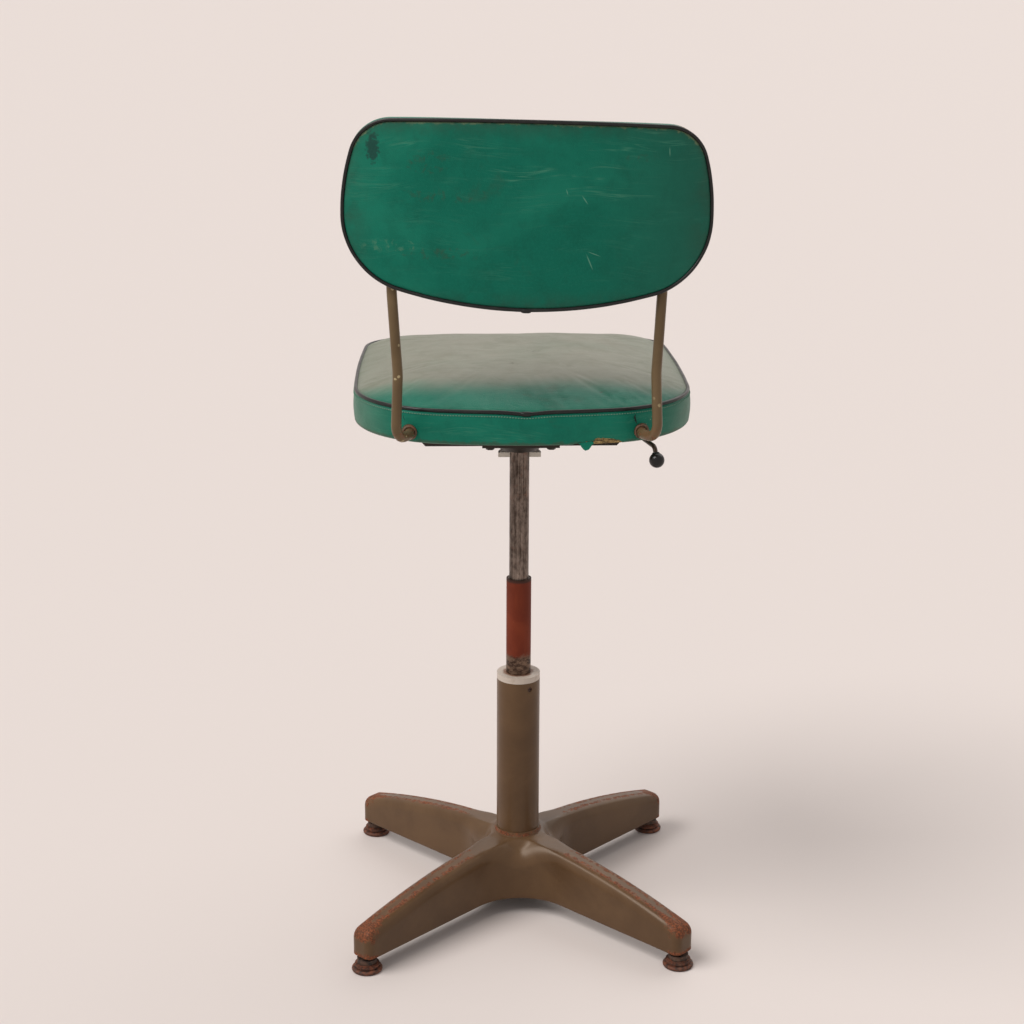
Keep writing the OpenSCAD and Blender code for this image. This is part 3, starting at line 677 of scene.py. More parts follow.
@dataclass(frozen=True)
class Vinyl(Finish):
    """Green upholstery vinyl, faded and scratched by use."""

    name: str
    cover: Cover
    light: Colour = srgb(20, 116, 94)
    mid: Colour = srgb(2, 98, 79)
    dark: Colour = srgb(8, 78, 62)
    grime: Colour = srgb(52, 72, 56)
    worn: Colour = srgb(126, 132, 98)
    faded: Colour = srgb(137, 134, 121)

    def build(self, g: Graph, shader: bpy.types.Node) -> None:
        """Wire patchy green, fading, grime, scratches and the embossed grain.

        Args:
            g: The material's graph.
            shader: Its Principled BSDF.
        """
        place = g.place()
        rim = g.mask("rim")
        wide = g.effect(Effect.BLOTCHES, Scale=7.0, Low=0.38, High=0.68)
        close = g.effect(Effect.BLOTCHES, Scale=38.0, Low=0.42, High=0.72)
        colour = g.mix(wide, self.mid, self.light)
        colour = g.mix(g.math("MULTIPLY", close, 0.35), colour, self.dark)
        weave = g.noise(g.stretched(place, 420, 420, 420), 1.0, 4, 0.7)
        colour = g.mix(g.math("MULTIPLY", g.ease(weave, 0.42, 0.72), 0.34), colour, self.light)
        stain = g.effect(Effect.BLOTCHES, Scale=16.0, Low=0.58, High=0.74)
        colour = g.mix(g.math("MULTIPLY", stain, 0.45), colour, self.grime)
        scratch = g.effect(Effect.SCRATCHES, Thin=0.03, Amount=0.47, Pitch=1.3)
        faint = g.effect(Effect.SCRATCHES, Thin=0.05, Amount=0.5, Pitch=2.9)
        colour = {Cover.REAR: self.rear, Cover.SEAT: self.seat, Cover.SIDE: self.side,
                  Cover.FRONT: self.front}[self.cover](g, place, rim, colour, scratch, faint)
        rough = g.math("ADD", 0.43, g.math("MULTIPLY", close, 0.1))
        height = g.math("ADD", g.effect(Effect.GRAIN, "Height", Scale=1100.0),
                        g.math("MULTIPLY", scratch, -0.8))
        creases = g.noise(g.stretched(place, 18, 60, 60), 1.0, 3, 0.6, 0.6)
        height = g.math("ADD", height, g.math("MULTIPLY", creases, 2.2))
        wire(g, shader, colour, rough, height, 0.00016, Specular_IOR_Level=0.3,
             Specular_Tint=(0.42, 0.85, 0.74, 1.0))

    def rear(self, g: Graph, place: object, rim: object, colour: object, scratch: object,
             faint: object) -> object:
        """Add the marks of the rear panel: long pale scratches, a dark smudge, a rubbed edge and painted
        shade on its -X side.

        Args:
            g: The material's graph.
            place: Object coordinates.
            rim: Nearness to the seam.
            colour: The vinyl so far.
            scratch: Mask of clear scratches.
            faint: Mask of faint ones.

        Returns:
            The vinyl with its marks.
        """
        split = g.add("ShaderNodeSeparateXYZ", {0: place})
        x, z = split.outputs["X"], split.outputs["Z"]
        upper = g.ease(z, 0.945, 0.985)
        right = g.ease(g.math("MULTIPLY", x, -1.0), -0.06, 0.03)
        # Painted shade: the -X side of the panel, away from the key light, is darkened towards srgb(33, 84,
        # 70).
        painted_side_shade = g.math("MULTIPLY", g.ease(g.math("MULTIPLY", x, -1.0), 0.05, 0.2), 0.55)
        colour = g.mix(painted_side_shade, colour, srgb(33, 84, 70))
        pale = srgb(74, 136, 112)
        colour = g.mix(g.math("MULTIPLY", g.math("MULTIPLY", scratch, upper), g.math("ADD", 0.4,
                       g.math("MULTIPLY", right, 0.6))), colour, pale)
        colour = g.mix(g.math("MULTIPLY", faint, 0.2), colour, pale)
        for mark_x, mark_z, wide, tall, lean in ((-0.062, 0.965, 0.0007, 0.006, 0.6),
                                                 (-0.042, 0.974, 0.0006, 0.0035, 0.3),
                                                 (-0.068, 0.896, 0.0008, 0.010, 0.4),
                                                 (-0.073, 0.905, 0.0006, 0.008, 1.2),
                                                 (-0.156, 1.016, 0.0007, 0.0055, 0.05)):
            moved = g.add("ShaderNodeVectorMath", {0: place, 1: (-mark_x, 0, -mark_z)}, operation="ADD")
            spun = g.add("ShaderNodeVectorRotate", {"Vector": moved.outputs[0], "Axis": (0, 1, 0),
                         "Angle": -lean})
            flat = g.stretched(spun.outputs[0], 1 / wide, 0, 1 / tall)
            far = g.add("ShaderNodeVectorMath", {0: flat}, operation="LENGTH").outputs["Value"]
            colour = g.mix(g.math("MULTIPLY", g.math("SUBTRACT", 1.0, g.ease(far, 0.4, 1.2)), 0.42),
                           colour, srgb(128, 176, 152))
        smudge = g.near(place, 0.1715, 1.020, 0.0065, 0.016, 1.1)
        colour = g.mix(g.math("MULTIPLY", smudge, 0.8), colour, srgb(30, 52, 50))
        blot = g.effect(Effect.BLOTCHES, Scale=110.0, Low=0.5, High=0.62)
        for mark_x, mark_z, wide, tall, much in ((0.098, 0.905, 0.045, 0.006, 0.5),
                                                 (0.09, 0.97, 0.05, 0.007, 0.45),
                                                 (0.11, 1.005, 0.02, 0.012, 0.5),
                                                 (-0.12, 1.01, 0.012, 0.006, 0.4)):
            patch = g.near(place, mark_x, mark_z, wide, tall, 0.8)
            colour = g.mix(g.math("MULTIPLY", g.math("MULTIPLY", patch, blot), much), colour, self.grime)
        pale_patch = g.near(place, 0.155, 0.912, 0.035, 0.007, 0.9)
        colour = g.mix(g.math("MULTIPLY", pale_patch, g.math("MULTIPLY", blot, 0.3)), colour,
                       srgb(100, 140, 112))
        top = g.math("MULTIPLY", rim, g.ease(z, 0.98, 1.03))
        edge = g.effect(Effect.WEAR, Where=top, Scale=120.0, Amount=0.5)
        colour = g.mix(g.math("MULTIPLY", g.math("MULTIPLY", rim, g.ease(z, 0.9, 1.03)), 0.45), colour,
                       self.grime)
        colour = g.mix(g.math("MULTIPLY", edge, 0.6), colour, self.worn)
        low = g.effect(Effect.WEAR, Where=g.math("MULTIPLY", rim, 0.7), Scale=70.0, Amount=0.5)
        colour = g.mix(g.math("MULTIPLY", low, 0.3), colour, self.grime)
        outer = g.math("MAXIMUM", g.ease(g.math("ABSOLUTE", x), 0.165, 0.212),
                       g.math("MAXIMUM", g.ease(z, 1.022, 1.052),
                              g.math("SUBTRACT", 1.0, g.ease(z, 0.842, 0.87))))
        soft = g.math("MULTIPLY", outer, g.ease(g.noise(place, 40, 5, 0.65), 0.3, 0.7))
        return g.mix(g.math("MULTIPLY", soft, 0.55), colour, srgb(46, 70, 56))

    def seat(self, g: Graph, place: object, rim: object, colour: object, scratch: object,
             faint: object) -> object:
        """Add the seat's wide bleached patch, which leaves green along the back edge.

        Args:
            g: The material's graph.
            place: Object coordinates.
            rim: Nearness to the seam.
            colour: The vinyl so far.
            scratch: Mask of clear scratches; not used.
            faint: Mask of faint ones; not used.

        Returns:
            The vinyl with its marks.
        """
        split = g.add("ShaderNodeSeparateXYZ", {0: place})
        y = g.math("ADD", split.outputs["Y"], g.math("MULTIPLY", g.noise(place, 14, 4), 0.022))
        side = g.math("POWER", g.math("MULTIPLY", g.math("ABSOLUTE", split.outputs["X"]), 4.9), 4.0)
        y = g.math("ADD", y, g.math("MULTIPLY", side, 0.03))
        bleach = g.math("SUBTRACT", 1.0, g.ease(y, 0.112, 0.172))
        tone = g.mix(g.effect(Effect.BLOTCHES, Scale=9.0, Low=0.35, High=0.7), self.faded,
                     srgb(124, 122, 108))
        green = g.math("MULTIPLY", g.effect(Effect.BLOTCHES, Scale=5.0, Low=0.45, High=0.7), 0.3)
        tone = g.mix(green, tone, srgb(106, 124, 106))
        lines = g.noise(g.stretched(place, 26, 130, 26), 1.0, 4, 0.65)
        tone = g.mix(g.math("MULTIPLY", g.ease(lines, 0.5, 0.75), 0.3), tone, srgb(112, 108, 94))
        tone = g.mix(g.math("MULTIPLY", side, 0.22), tone, srgb(96, 122, 100))
        out = g.mix(bleach, colour, tone)
        spot = g.effect(Effect.SPECKS, Scale=60.0, Size=0.06)
        out = g.mix(g.math("MULTIPLY", spot, 0.4), out, srgb(84, 80, 66))
        for mark_x, mark_y, wide, tall in ((-0.018, -0.02, 0.012, 0.006), (0.012, 0.045, 0.004, 0.006),
                                           (0.155, 0.03, 0.014, 0.002), (-0.09, 0.15, 0.006, 0.002)):
            moved = g.add("ShaderNodeVectorMath", {0: place, 1: (-mark_x, -mark_y, 0)}, operation="ADD")
            flat = g.stretched(moved.outputs[0], 1 / wide, 1 / tall, 0)
            far = g.add("ShaderNodeVectorMath", {0: flat}, operation="LENGTH").outputs["Value"]
            blot = g.effect(Effect.BLOTCHES, Scale=190.0, Low=0.5, High=0.6)
            near = g.math("SUBTRACT", 1.0, g.ease(far, 0.6, 1.3))
            out = g.mix(g.math("MULTIPLY", g.math("MULTIPLY", near, blot), 0.6), out, srgb(72, 66, 56))
        return g.mix(g.math("MULTIPLY", rim, 0.35), out, srgb(70, 84, 68))

    def side(self, g: Graph, place: object, rim: object, colour: object, scratch: object,
             faint: object) -> object:
        """Add the band's greyer sides, soiled lower edge and rubs.

        Args:
            g: The material's graph.
            place: Object coordinates.
            rim: Nearness to the seam.
            colour: The vinyl so far.
            scratch: Mask of clear scratches; not used.
            faint: Mask of faint ones.

        Returns:
            The vinyl with its marks.
        """
        split = g.add("ShaderNodeSeparateXYZ", {0: place})
        far = g.ease(g.math("ABSOLUTE", split.outputs["X"]), 0.14, 0.205)
        front = g.math("SUBTRACT", 1.0, g.ease(split.outputs["Y"], -0.1, 0.12))
        grey = g.math("MULTIPLY", g.math("MAXIMUM", far, front), 0.45)
        out = g.mix(grey, colour, srgb(92, 112, 96))
        out = g.mix(g.math("MULTIPLY", faint, 0.3), out, srgb(84, 142, 118))
        soil = g.effect(Effect.WEAR, Where=rim, Scale=60.0, Amount=0.45)
        out = g.mix(g.math("MULTIPLY", soil, 0.55), out, srgb(66, 74, 56))
        chalk = g.effect(Effect.SPECKS, Scale=330.0, Size=0.16)
        spot = g.near(place, -0.149, 0.701, 0.012, 0.006, 0.3)
        return g.mix(g.math("MULTIPLY", g.math("MULTIPLY", spot, chalk), 0.9), out, srgb(196, 196, 176))

    def front(self, g: Graph, place: object, rim: object, colour: object, scratch: object,
              faint: object) -> object:
        """Add the rubbed middle and greyer edges of the leaning side.

        Args:
            g: The material's graph.
            place: Object coordinates.
            rim: Nearness to the seam.
            colour: The vinyl so far.
            scratch: Mask of clear scratches; not used.
            faint: Mask of faint ones.

        Returns:
            The vinyl with its marks.
        """
        split = g.add("ShaderNodeSeparateXYZ", {0: place})
        off = g.math("ADD", g.math("POWER", g.math("MULTIPLY", split.outputs["X"], 6.5), 2.0),
                     g.math("POWER", g.math("MULTIPLY", g.math("SUBTRACT", split.outputs["Z"], 0.96), 14.0),
                            2.0))
        rub = g.math("SUBTRACT", 1.0, g.ease(g.math("ADD", off, g.noise(place, 16, 4)), 0.4, 1.9))
        out = g.mix(g.math("MULTIPLY", rub, 0.4), colour, srgb(104, 128, 108))
        out = g.mix(g.math("MULTIPLY", faint, 0.25), out, srgb(90, 142, 118))
        return g.mix(g.math("MULTIPLY", rim, 0.5), out, self.grime)


@dataclass(frozen=True)
class Enamel(Finish):
    """Stove enamel over iron, with rust where it has worn through."""

    name: str
    coat: Colour = srgb(97, 73, 50)
    shade: Colour = srgb(83, 61, 41)
    rust: Colour = srgb(140, 74, 44)
    deep_rust: Colour = srgb(74, 42, 28)
    chips: Colour = srgb(184, 170, 132)
    chip_size: float = 0.0
    rusting: float = 1.0

    def build(self, g: Graph, shader: bpy.types.Node) -> None:
        """Wire coat, rust by mask, pin rust and chips.

        Args:
            g: The material's graph.
            shader: Its Principled BSDF.
        """
        place = g.place()
        patch = g.effect(Effect.BLOTCHES, Scale=11.0, Low=0.35, High=0.7)
        colour = g.mix(patch, self.shade, self.coat)
        rust_on = g.effect(Effect.WEAR, Where=g.mask("wear"), Scale=150.0, Amount=0.52 * self.rusting)
        halo = g.effect(Effect.WEAR, Where=g.mask("wear"), Scale=24.0, Amount=0.46 * self.rusting)
        grain = g.noise(place, 420, 4, 0.7)
        rusty = g.mix(g.ease(grain, 0.4, 0.65), self.deep_rust, self.rust)
        colour = g.mix(g.math("MULTIPLY", halo, 0.4), colour, srgb(120, 82, 56))
        colour = g.mix(g.math("MULTIPLY", rust_on, 0.85), colour, rusty)
        pins = g.effect(Effect.SPECKS, Scale=75.0, Size=0.055)
        colour = g.mix(g.math("MULTIPLY", pins, 0.75), colour, self.deep_rust)
        height = g.math("ADD", g.math("MULTIPLY", g.noise(place, 260, 2), 0.5),
                        g.math("MULTIPLY", rust_on, g.math("MULTIPLY", grain, 1.2)))
        rough = g.math("ADD", 0.3, g.math("MULTIPLY",
                                          g.math("MAXIMUM", rust_on, g.math("MULTIPLY", patch, 0.2)), 0.42))
        if self.chip_size:
            chip = g.effect(Effect.SPECKS, Scale=95.0, Size=self.chip_size)
            low = g.math("MULTIPLY", chip, g.ease(g.noise(place, 22, 2), 0.5, 0.6))
            colour = g.mix(g.math("MULTIPLY", low, 0.85), colour, self.chips)
        wire(g, shader, colour, rough, height, 0.00012, Specular_IOR_Level=0.32, Coat_Weight=0.05,
             Coat_Roughness=0.22,
             Specular_Tint=(1.0, 0.86, 0.72, 1.0))


@dataclass(frozen=True)
class Steel(Finish):
    """Bare or oxidised steel with darker mottling along its length."""

    name: str
    bright: Colour = srgb(140, 126, 116)
    dull: Colour = srgb(50, 40, 34)
    rust: Colour = srgb(112, 72, 50)
    rough: float = 0.27
    metal: float = 0.9
    rusting: float = 0.2

    def build(self, g: Graph, shader: bpy.types.Node) -> None:
        """Wire mottled steel with vertical drag marks and rust spots.

        Args:
            g: The material's graph.
            shader: Its Principled BSDF.
        """
        place = g.place()
        cloud = g.noise(g.stretched(place, 120, 120, 62), 1.0, 8, 0.75, 0.3)
        drawn = g.noise(g.stretched(place, 420, 420, 7), 1.0, 4, 0.65)
        tone = g.math("ADD", g.math("MULTIPLY", g.ease(cloud, 0.38, 0.66), 0.5),
                      g.math("MULTIPLY", g.ease(drawn, 0.36, 0.64), 0.5))
        colour = g.mix(tone, self.dull, self.bright)
        spots = g.effect(Effect.WEAR, Where=self.rusting, Scale=90.0, Amount=1.0)
        colour = g.mix(g.math("MULTIPLY", spots, 0.7), colour, self.rust)
        rough = g.math("ADD", self.rough, g.math("MULTIPLY", g.ease(cloud, 0.7, 0.35), 0.22))
        shine = g.math("MULTIPLY", g.math("SUBTRACT", 1.0, g.math("MULTIPLY", spots, 0.8)), self.metal)
        wire(g, shader, colour, rough, g.math("ADD", drawn, g.math("MULTIPLY", cloud, 1.5)), 0.00006,
             Metallic=shine)


@dataclass(frozen=True)
class Primer(Finish):
    """Red oxide primer on a tube that is bare at its foot and dark at its rim."""

    name: str
    top: float
    bare_below: float

    def build(self, g: Graph, shader: bpy.types.Node) -> None:
        """Wire the primer, its ragged lower end and the dark rim.

        Args:
            g: The material's graph.
            shader: Its Principled BSDF.
        """
        place = g.place()
        z = g.add("ShaderNodeSeparateXYZ", {0: place}).outputs["Z"]
        red = g.mix(g.effect(Effect.BLOTCHES, Scale=22.0, Low=0.35, High=0.7), srgb(102, 38, 18),
                    srgb(120, 50, 26))
        red = g.mix(g.math("MULTIPLY", g.effect(Effect.SPECKS, Scale=240.0, Size=0.1), 0.5), red,
                    srgb(168, 120, 92))
        ragged = g.math("ADD", z, g.math("MULTIPLY", g.noise(place, 130, 5, 0.7), -0.016))
        bare = g.math("SUBTRACT", 1.0, g.ease(ragged, self.bare_below - 0.0125, self.bare_below - 0.0045))
        cloud = g.noise(g.stretched(place, 80, 80, 160), 1.0, 5, 0.7)
        steel = g.mix(g.ease(cloud, 0.38, 0.62), srgb(58, 42, 34), srgb(120, 98, 82))
        rim = g.ease(g.math("ADD", z, g.math("MULTIPLY", g.noise(place, 300, 3), 0.002)), self.top - 0.004,
                     self.top - 0.0005)
        colour = g.mix(bare, red, steel)
        colour = g.mix(g.math("MULTIPLY", rim, 0.85), colour, srgb(52, 38, 32))
        rough = g.math("SUBTRACT", 0.6, g.math("MULTIPLY", bare, 0.18))
        wire(g, shader, colour, rough, g.math("ADD", g.noise(place, 500, 3), g.math("MULTIPLY", bare, -1.2)),
             0.0001,
             Metallic=g.math("MULTIPLY", bare, 0.6), Specular_IOR_Level=0.2)


@dataclass(frozen=True)
class RustyIron(Finish):
    """Iron that has rusted all over, orange on its edges and dark in its grooves."""

    name: str
    light: Colour = srgb(118, 68, 46)
    dark: Colour = srgb(50, 33, 26)

    def build(self, g: Graph, shader: bpy.types.Node) -> None:
        """Wire layered rust.

        Args:
            g: The material's graph.
            shader: Its Principled BSDF.
        """
        place = g.place()
        layer = g.noise(place, 160, 6, 0.7)
        colour = g.mix(g.ease(layer, 0.36, 0.64), self.dark, self.light)
        dust = g.effect(Effect.BLOTCHES, Scale=60.0, Low=0.5, High=0.72)
        colour = g.mix(g.math("MULTIPLY", dust, 0.45), colour, srgb(128, 104, 88))
        wire(g, shader, colour, g.math("ADD", 0.55, g.math("MULTIPLY", layer, 0.3)),
             g.math("ADD", layer, g.math("MULTIPLY", g.noise(place, 900, 3), 0.5)), 0.0005, Metallic=0.15)


@dataclass(frozen=True)
class Plastic(Finish):
    """Moulded plastic or rubbery vinyl cord."""

    name: str
    colour: Colour
    worn: Colour
    rough: float = 0.3
    stained_within: float = 0.0

    def build(self, g: Graph, shader: bpy.types.Node) -> None:
        """Wire faint scuffs, and a rust stain near the middle if there is one.

        Args:
            g: The material's graph.
            shader: Its Principled BSDF.
        """
        place = g.place()
        scuff = g.effect(Effect.BLOTCHES, Scale=70.0, Low=0.5, High=0.75)
        fine = g.noise(place, 700, 4, 0.7)
        colour = g.mix(g.math("MULTIPLY", scuff, 0.5), self.colour, self.worn)
        if self.stained_within:
            flat = g.stretched(place, 1, 1, 0)
            far = g.add("ShaderNodeVectorMath", {0: flat}, operation="LENGTH").outputs["Value"]
            wavy = g.math("ADD", far, g.math("MULTIPLY", g.math("SUBTRACT", g.noise(place, 90, 4), 0.5),
                                             0.011))
            stain = g.math("SUBTRACT", 1.0, g.ease(wavy, self.stained_within - 0.004, self.stained_within))
            colour = g.mix(g.math("MULTIPLY", stain, 0.85), colour, srgb(122, 76, 48))
        rough = g.math("ADD", self.rough, g.math("MULTIPLY", scuff, 0.2))
        wire(g, shader, colour, rough, g.math("ADD", fine, scuff), 0.00008, Specular_IOR_Level=0.35)


@dataclass(frozen=True)
class Timber(Finish):
    """Plywood or beech with grain along X."""

    name: str
    light: Colour = srgb(196, 160, 112)
    dark: Colour = srgb(142, 104, 64)

    def build(self, g: Graph, shader: bpy.types.Node) -> None:
        """Wire long wavy grain and short pores.

        Args:
            g: The material's graph.
            shader: Its Principled BSDF.
        """
        place = g.place()
        wavy = g.noise(g.stretched(place, 5, 42, 42), 1.0, 4, 0.6, 1.2)
        pores = g.noise(g.stretched(place, 120, 900, 900), 1.0, 2)
        colour = g.mix(g.ease(wavy, 0.35, 0.65), self.dark, self.light)
        colour = g.mix(g.math("MULTIPLY", g.ease(pores, 0.58, 0.7), 0.4), colour, srgb(96, 66, 38))
        wire(g, shader, colour, 0.62, g.math("ADD", wavy, g.math("MULTIPLY", pores, -0.7)), 0.0002)


@dataclass(frozen=True)
class Fibre(Finish):
    """Aged wadding or torn backing cloth."""

    name: str
    light: Colour = srgb(206, 180, 122)
    dark: Colour = srgb(112, 84, 48)

    def build(self, g: Graph, shader: bpy.types.Node) -> None:
        """Wire tangled fibres."""
        place = g.place()
        tangle = g.noise(g.stretched(place, 260, 700, 1100), 1.0, 5, 0.75, 1.5)
        colour = g.mix(g.ease(tangle, 0.4, 0.6), self.dark, self.light)
        wire(g, shader, colour, 0.9, tangle, 0.0006)


BALL = Plastic("ball_moulding", srgb(14, 12, 11), srgb(30, 26, 24), 0.2)
PIPING = Plastic("black_piping", srgb(14, 16, 15), srgb(40, 46, 40), 0.3)
NYLON = Plastic("bush_nylon", srgb(196, 184, 172), srgb(168, 150, 132), 0.45, 0.0215)
CLIP_NYLON = Plastic("clip_nylon", srgb(206, 200, 188), srgb(186, 176, 160), 0.4)
BLACK_PAINT = Enamel("black_enamel", srgb(34, 31, 28), srgb(26, 24, 22), rusting=0.3)
BASE_PAINT = Enamel("base_enamel")
TUBE_PAINT = Enamel("tube_enamel", srgb(108, 90, 64), srgb(92, 75, 52), chip_size=0.3, rusting=0.7)
BARE_STEEL = Steel("bare_steel")
DARK_STEEL = Steel("dark_steel", srgb(78, 68, 60), srgb(44, 38, 34), rough=0.42, metal=0.6, rusting=0.32)
SLEEVE_STEEL = Steel("sleeve_steel", srgb(100, 78, 58), srgb(62, 48, 36), rough=0.4, metal=0.4, rusting=0.3)
RUSTY = RustyIron("rusted_iron")
WOOD = Timber("plywood")
WADDING = Fibre("wadding")
THREAD = Plastic("thread", srgb(96, 138, 118), srgb(70, 112, 94), 0.7)


def dress(node: str, finish: Finish) -> None:
    """Give a carried-over node a finish.

    Args:
        node: The node's name.
        finish: Its finish.
    """
    finish.put_on(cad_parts[node])


def fit(piece: bpy.types.Object, body: str, finish: Finish,
        stands_for: Sequence[str] = ()) -> None:
    """Finish a piece, fix it to its body and hide the nodes that it stands for.

    Args:
        piece: The piece.
        body: The body that it rides on.
        finish: Its finish.
        stands_for: Nodes that it replaces.
    """
    finish.put_on(piece)
    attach(piece, body)
    if stands_for:
        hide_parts(*stands_for)
    LOG.info("%s: %d points on %s", piece.name, len(piece.data.vertices), body)


# ---- base and column -------------------------------------------------------------------------


@dataclass
class BaseCasting:
    """The cast four-leg base: a heightfield over the star's plan, hollow underneath."""

    reach: float = 0.288
    end_half: float = 0.017
    hub_half: float = 0.0185
    fillet: float = 0.074
    corner: float = 0.010
    hub_z: float = 0.097
    leg_drop: float = 0.041
    edge_round: float = 0.0120
    web_drop: float = 0.028
    rim_z: float = 0.021
    rim_rise: float = 0.0015
    wall: float = 0.0045
    tube_r: float = 0.02805
    collar_r: float = 0.0297
    collar_z: float = 0.104
    plan: np.ndarray = field(init=False)

    def __post_init__(self) -> None:
        """Lay out the plan."""
        self.plan = self.contour()

    def contour(self) -> np.ndarray:
        """Give the plan's outline, anticlockwise."""
        taper = math.atan((self.hub_half - self.end_half) / self.reach)
        c = (self.fillet / math.cos(taper) + self.hub_half) / (1 + math.tan(taper))
        touch = (c - self.fillet * math.sin(taper), c - self.fillet * math.cos(taper))
        end_x = self.reach - self.corner
        side = [(touch[0] + (end_x - touch[0]) * t, touch[1] + (self.end_half - touch[1]) * t)
                for t in np.linspace(0, 1, 46)]
        leg = [(x, -y) for x, y in side]
        arc = self.end_half - self.corner
        leg += [(end_x + self.corner * math.sin(a), -arc - self.corner * math.cos(a))
                for a in np.linspace(0, math.pi / 2, 8)[1:]]
        leg += [(self.reach, y) for y in np.linspace(-arc, arc, 5)[1:-1]]
        leg += [(end_x + self.corner * math.cos(a), arc + self.corner * math.sin(a))
                for a in np.linspace(0, math.pi / 2, 8)[:-1]]
        leg += side[::-1]
        first = math.radians(-90) - taper
        last = math.radians(-180) + taper
        leg += [(c + self.fillet * math.cos(a), c + self.fillet * math.sin(a))
                for a in np.linspace(first, last, 36)[1:-1]]
        points = []
        for k in range(4):
            a = math.radians(45 + 90 * k)
            turn = np.array([[math.cos(a), -math.sin(a)], [math.sin(a), math.cos(a)]])
            points += [turn @ np.array(p) for p in leg]
        return np.array(points)

    def inset_of(self, xy: np.ndarray) -> np.ndarray:
        """Measure how far each point lies inside the plan's outline.

        Args:
            xy: Points of the plan.

        Returns:
            Distances in metres.
        """
        a = self.plan
        b = np.roll(a, -1, axis=0)
        along = b - a
        best = np.full(len(xy), 9.0)
        for start in range(0, len(xy), 2000):
            p = xy[start:start + 2000, None, :]
            t = np.clip(((p - a) * along).sum(2) / (along * along).sum(1), 0, 1)
            best[start:start + 2000] = np.linalg.norm(p - a - t[..., None] * along, axis=2).min(1)
        return best

    def top_z(self, xy: np.ndarray, inset: np.ndarray) -> np.ndarray:
        """Give the top surface's height at each point.

        Args:
            xy: Points of the plan.
            inset: Their distance inside the outline.

        Returns:
            Heights in metres.
        """
        r = np.linalg.norm(xy, axis=1)
        spun = np.stack([xy[:, 0] + xy[:, 1], xy[:, 1] - xy[:, 0]], 1) / math.sqrt(2)
        aside = (np.abs(spun) + 1e-6)
        aside = np.sum(aside ** -4.0, axis=1) ** -0.25
        z = self.hub_z - self.leg_drop * (r / self.reach) ** 2
        z -= self.web_drop * np.clip((aside - 0.0135) / 0.0257, 0, 1.4) ** 1.3
        d = np.clip(self.edge_round - inset, 0, self.edge_round)
        z -= self.edge_round - np.sqrt(self.edge_round ** 2 - d ** 2)
        collar = np.where(r < self.collar_r + 0.0001, self.collar_z,
                          self.collar_z - 0.0055 * smooth(r, self.collar_r, self.collar_r + 0.0012))
        keep = 1 - smooth(r, self.collar_r + 0.0008, 0.043)
        return z * (1 - keep) + collar * keep

    def rings(self, edge: np.ndarray) -> list[np.ndarray]:
        """Set rings of points from the tube outward to an outline."""
        out = np.linalg.norm(edge, axis=1, keepdims=True)
        ahead = edge / out
        inner = [self.tube_r, self.collar_r - 0.0005, self.collar_r, 0.0300, 0.0305, 0.0313, 0.0325, 0.0345,
                 0.0370,
                 0.0400, 0.0430]
        rings = [ahead * r for r in inner]
        for t in (0.06, 0.12, 0.2, 0.28, 0.37, 0.46, 0.54, 0.61, 0.68, 0.74, 0.79, 0.835, 0.875, 0.91, 0.938,
                  0.96, 0.976, 0.988, 0.996, 1.0):
            rings.append(ahead * (inner[-1] + (out - inner[-1]) * t))
        return rings

    def make(self) -> bpy.types.Object:
        """Build the casting, with its wear mask."""
        flat = self.rings(self.plan)
        count = len(self.plan)
        xy = np.concatenate(flat)
        inset = self.inset_of(xy)
        inset[-count:] = 0
        top = np.column_stack([xy, self.top_z(xy, inset)]).reshape(len(flat), count, 3)
        before = self.plan - np.roll(self.plan, 1, axis=0)
        after = np.roll(self.plan, -1, axis=0) - self.plan
        along = before / np.linalg.norm(before, axis=1, keepdims=True) + after / np.linalg.norm(after,
            axis=1, keepdims=True)
        out = np.column_stack([along[:, 1], -along[:, 0]])
        out /= np.linalg.norm(out, axis=1, keepdims=True)
        rim = self.rim_z + self.rim_rise * (1 - np.linalg.norm(self.plan, axis=1) / self.reach)
        edge_z = top[-1, :, 2]
        rings = list(top)
        for share in (0.12, 0.3, 0.5, 0.7, 0.88, 0.965):
            rings.append(np.column_stack([self.plan, edge_z + (rim - edge_z) * share]))
        for inward, lift in ((0.0004, 0.0006), (0.0012, 0.0), (self.wall - 0.0008, 0.0), (self.wall, 0.001)):
            rings.append(np.column_stack([self.plan - out * inward, rim + lift]))
        inside = self.plan - out * self.wall
        ceiling = edge_z + self.edge_round - self.wall - 0.001
        for share in (0.5, 0.9):
            rings.append(np.column_stack([inside, rim + (ceiling - rim) * share]))
        for t in (0.96, 0.8, 0.6, 0.4, 0.2, 0.0):
            near = inside * (t + (1 - t) * self.collar_r / np.linalg.norm(inside, axis=1, keepdims=True))
            r = np.linalg.norm(near, axis=1)
            z = np.minimum(self.hub_z - self.leg_drop * (r / self.reach) ** 2 - self.wall - 0.001,
                           ceiling + 0.02 * (1 - t))
            rings.append(np.column_stack([near, z]))
        ahead = self.plan / np.linalg.norm(self.plan, axis=1, keepdims=True)
        for r in (self.collar_r, self.tube_r):
            rings.append(np.column_stack([ahead * r, np.full(count, self.rim_z + self.rim_rise)]))
        verts, faces = ring_mesh(rings, loop=True)
        piece = make_piece("base_casting", verts, faces, 50)
        self.mark_wear(piece)
        return piece

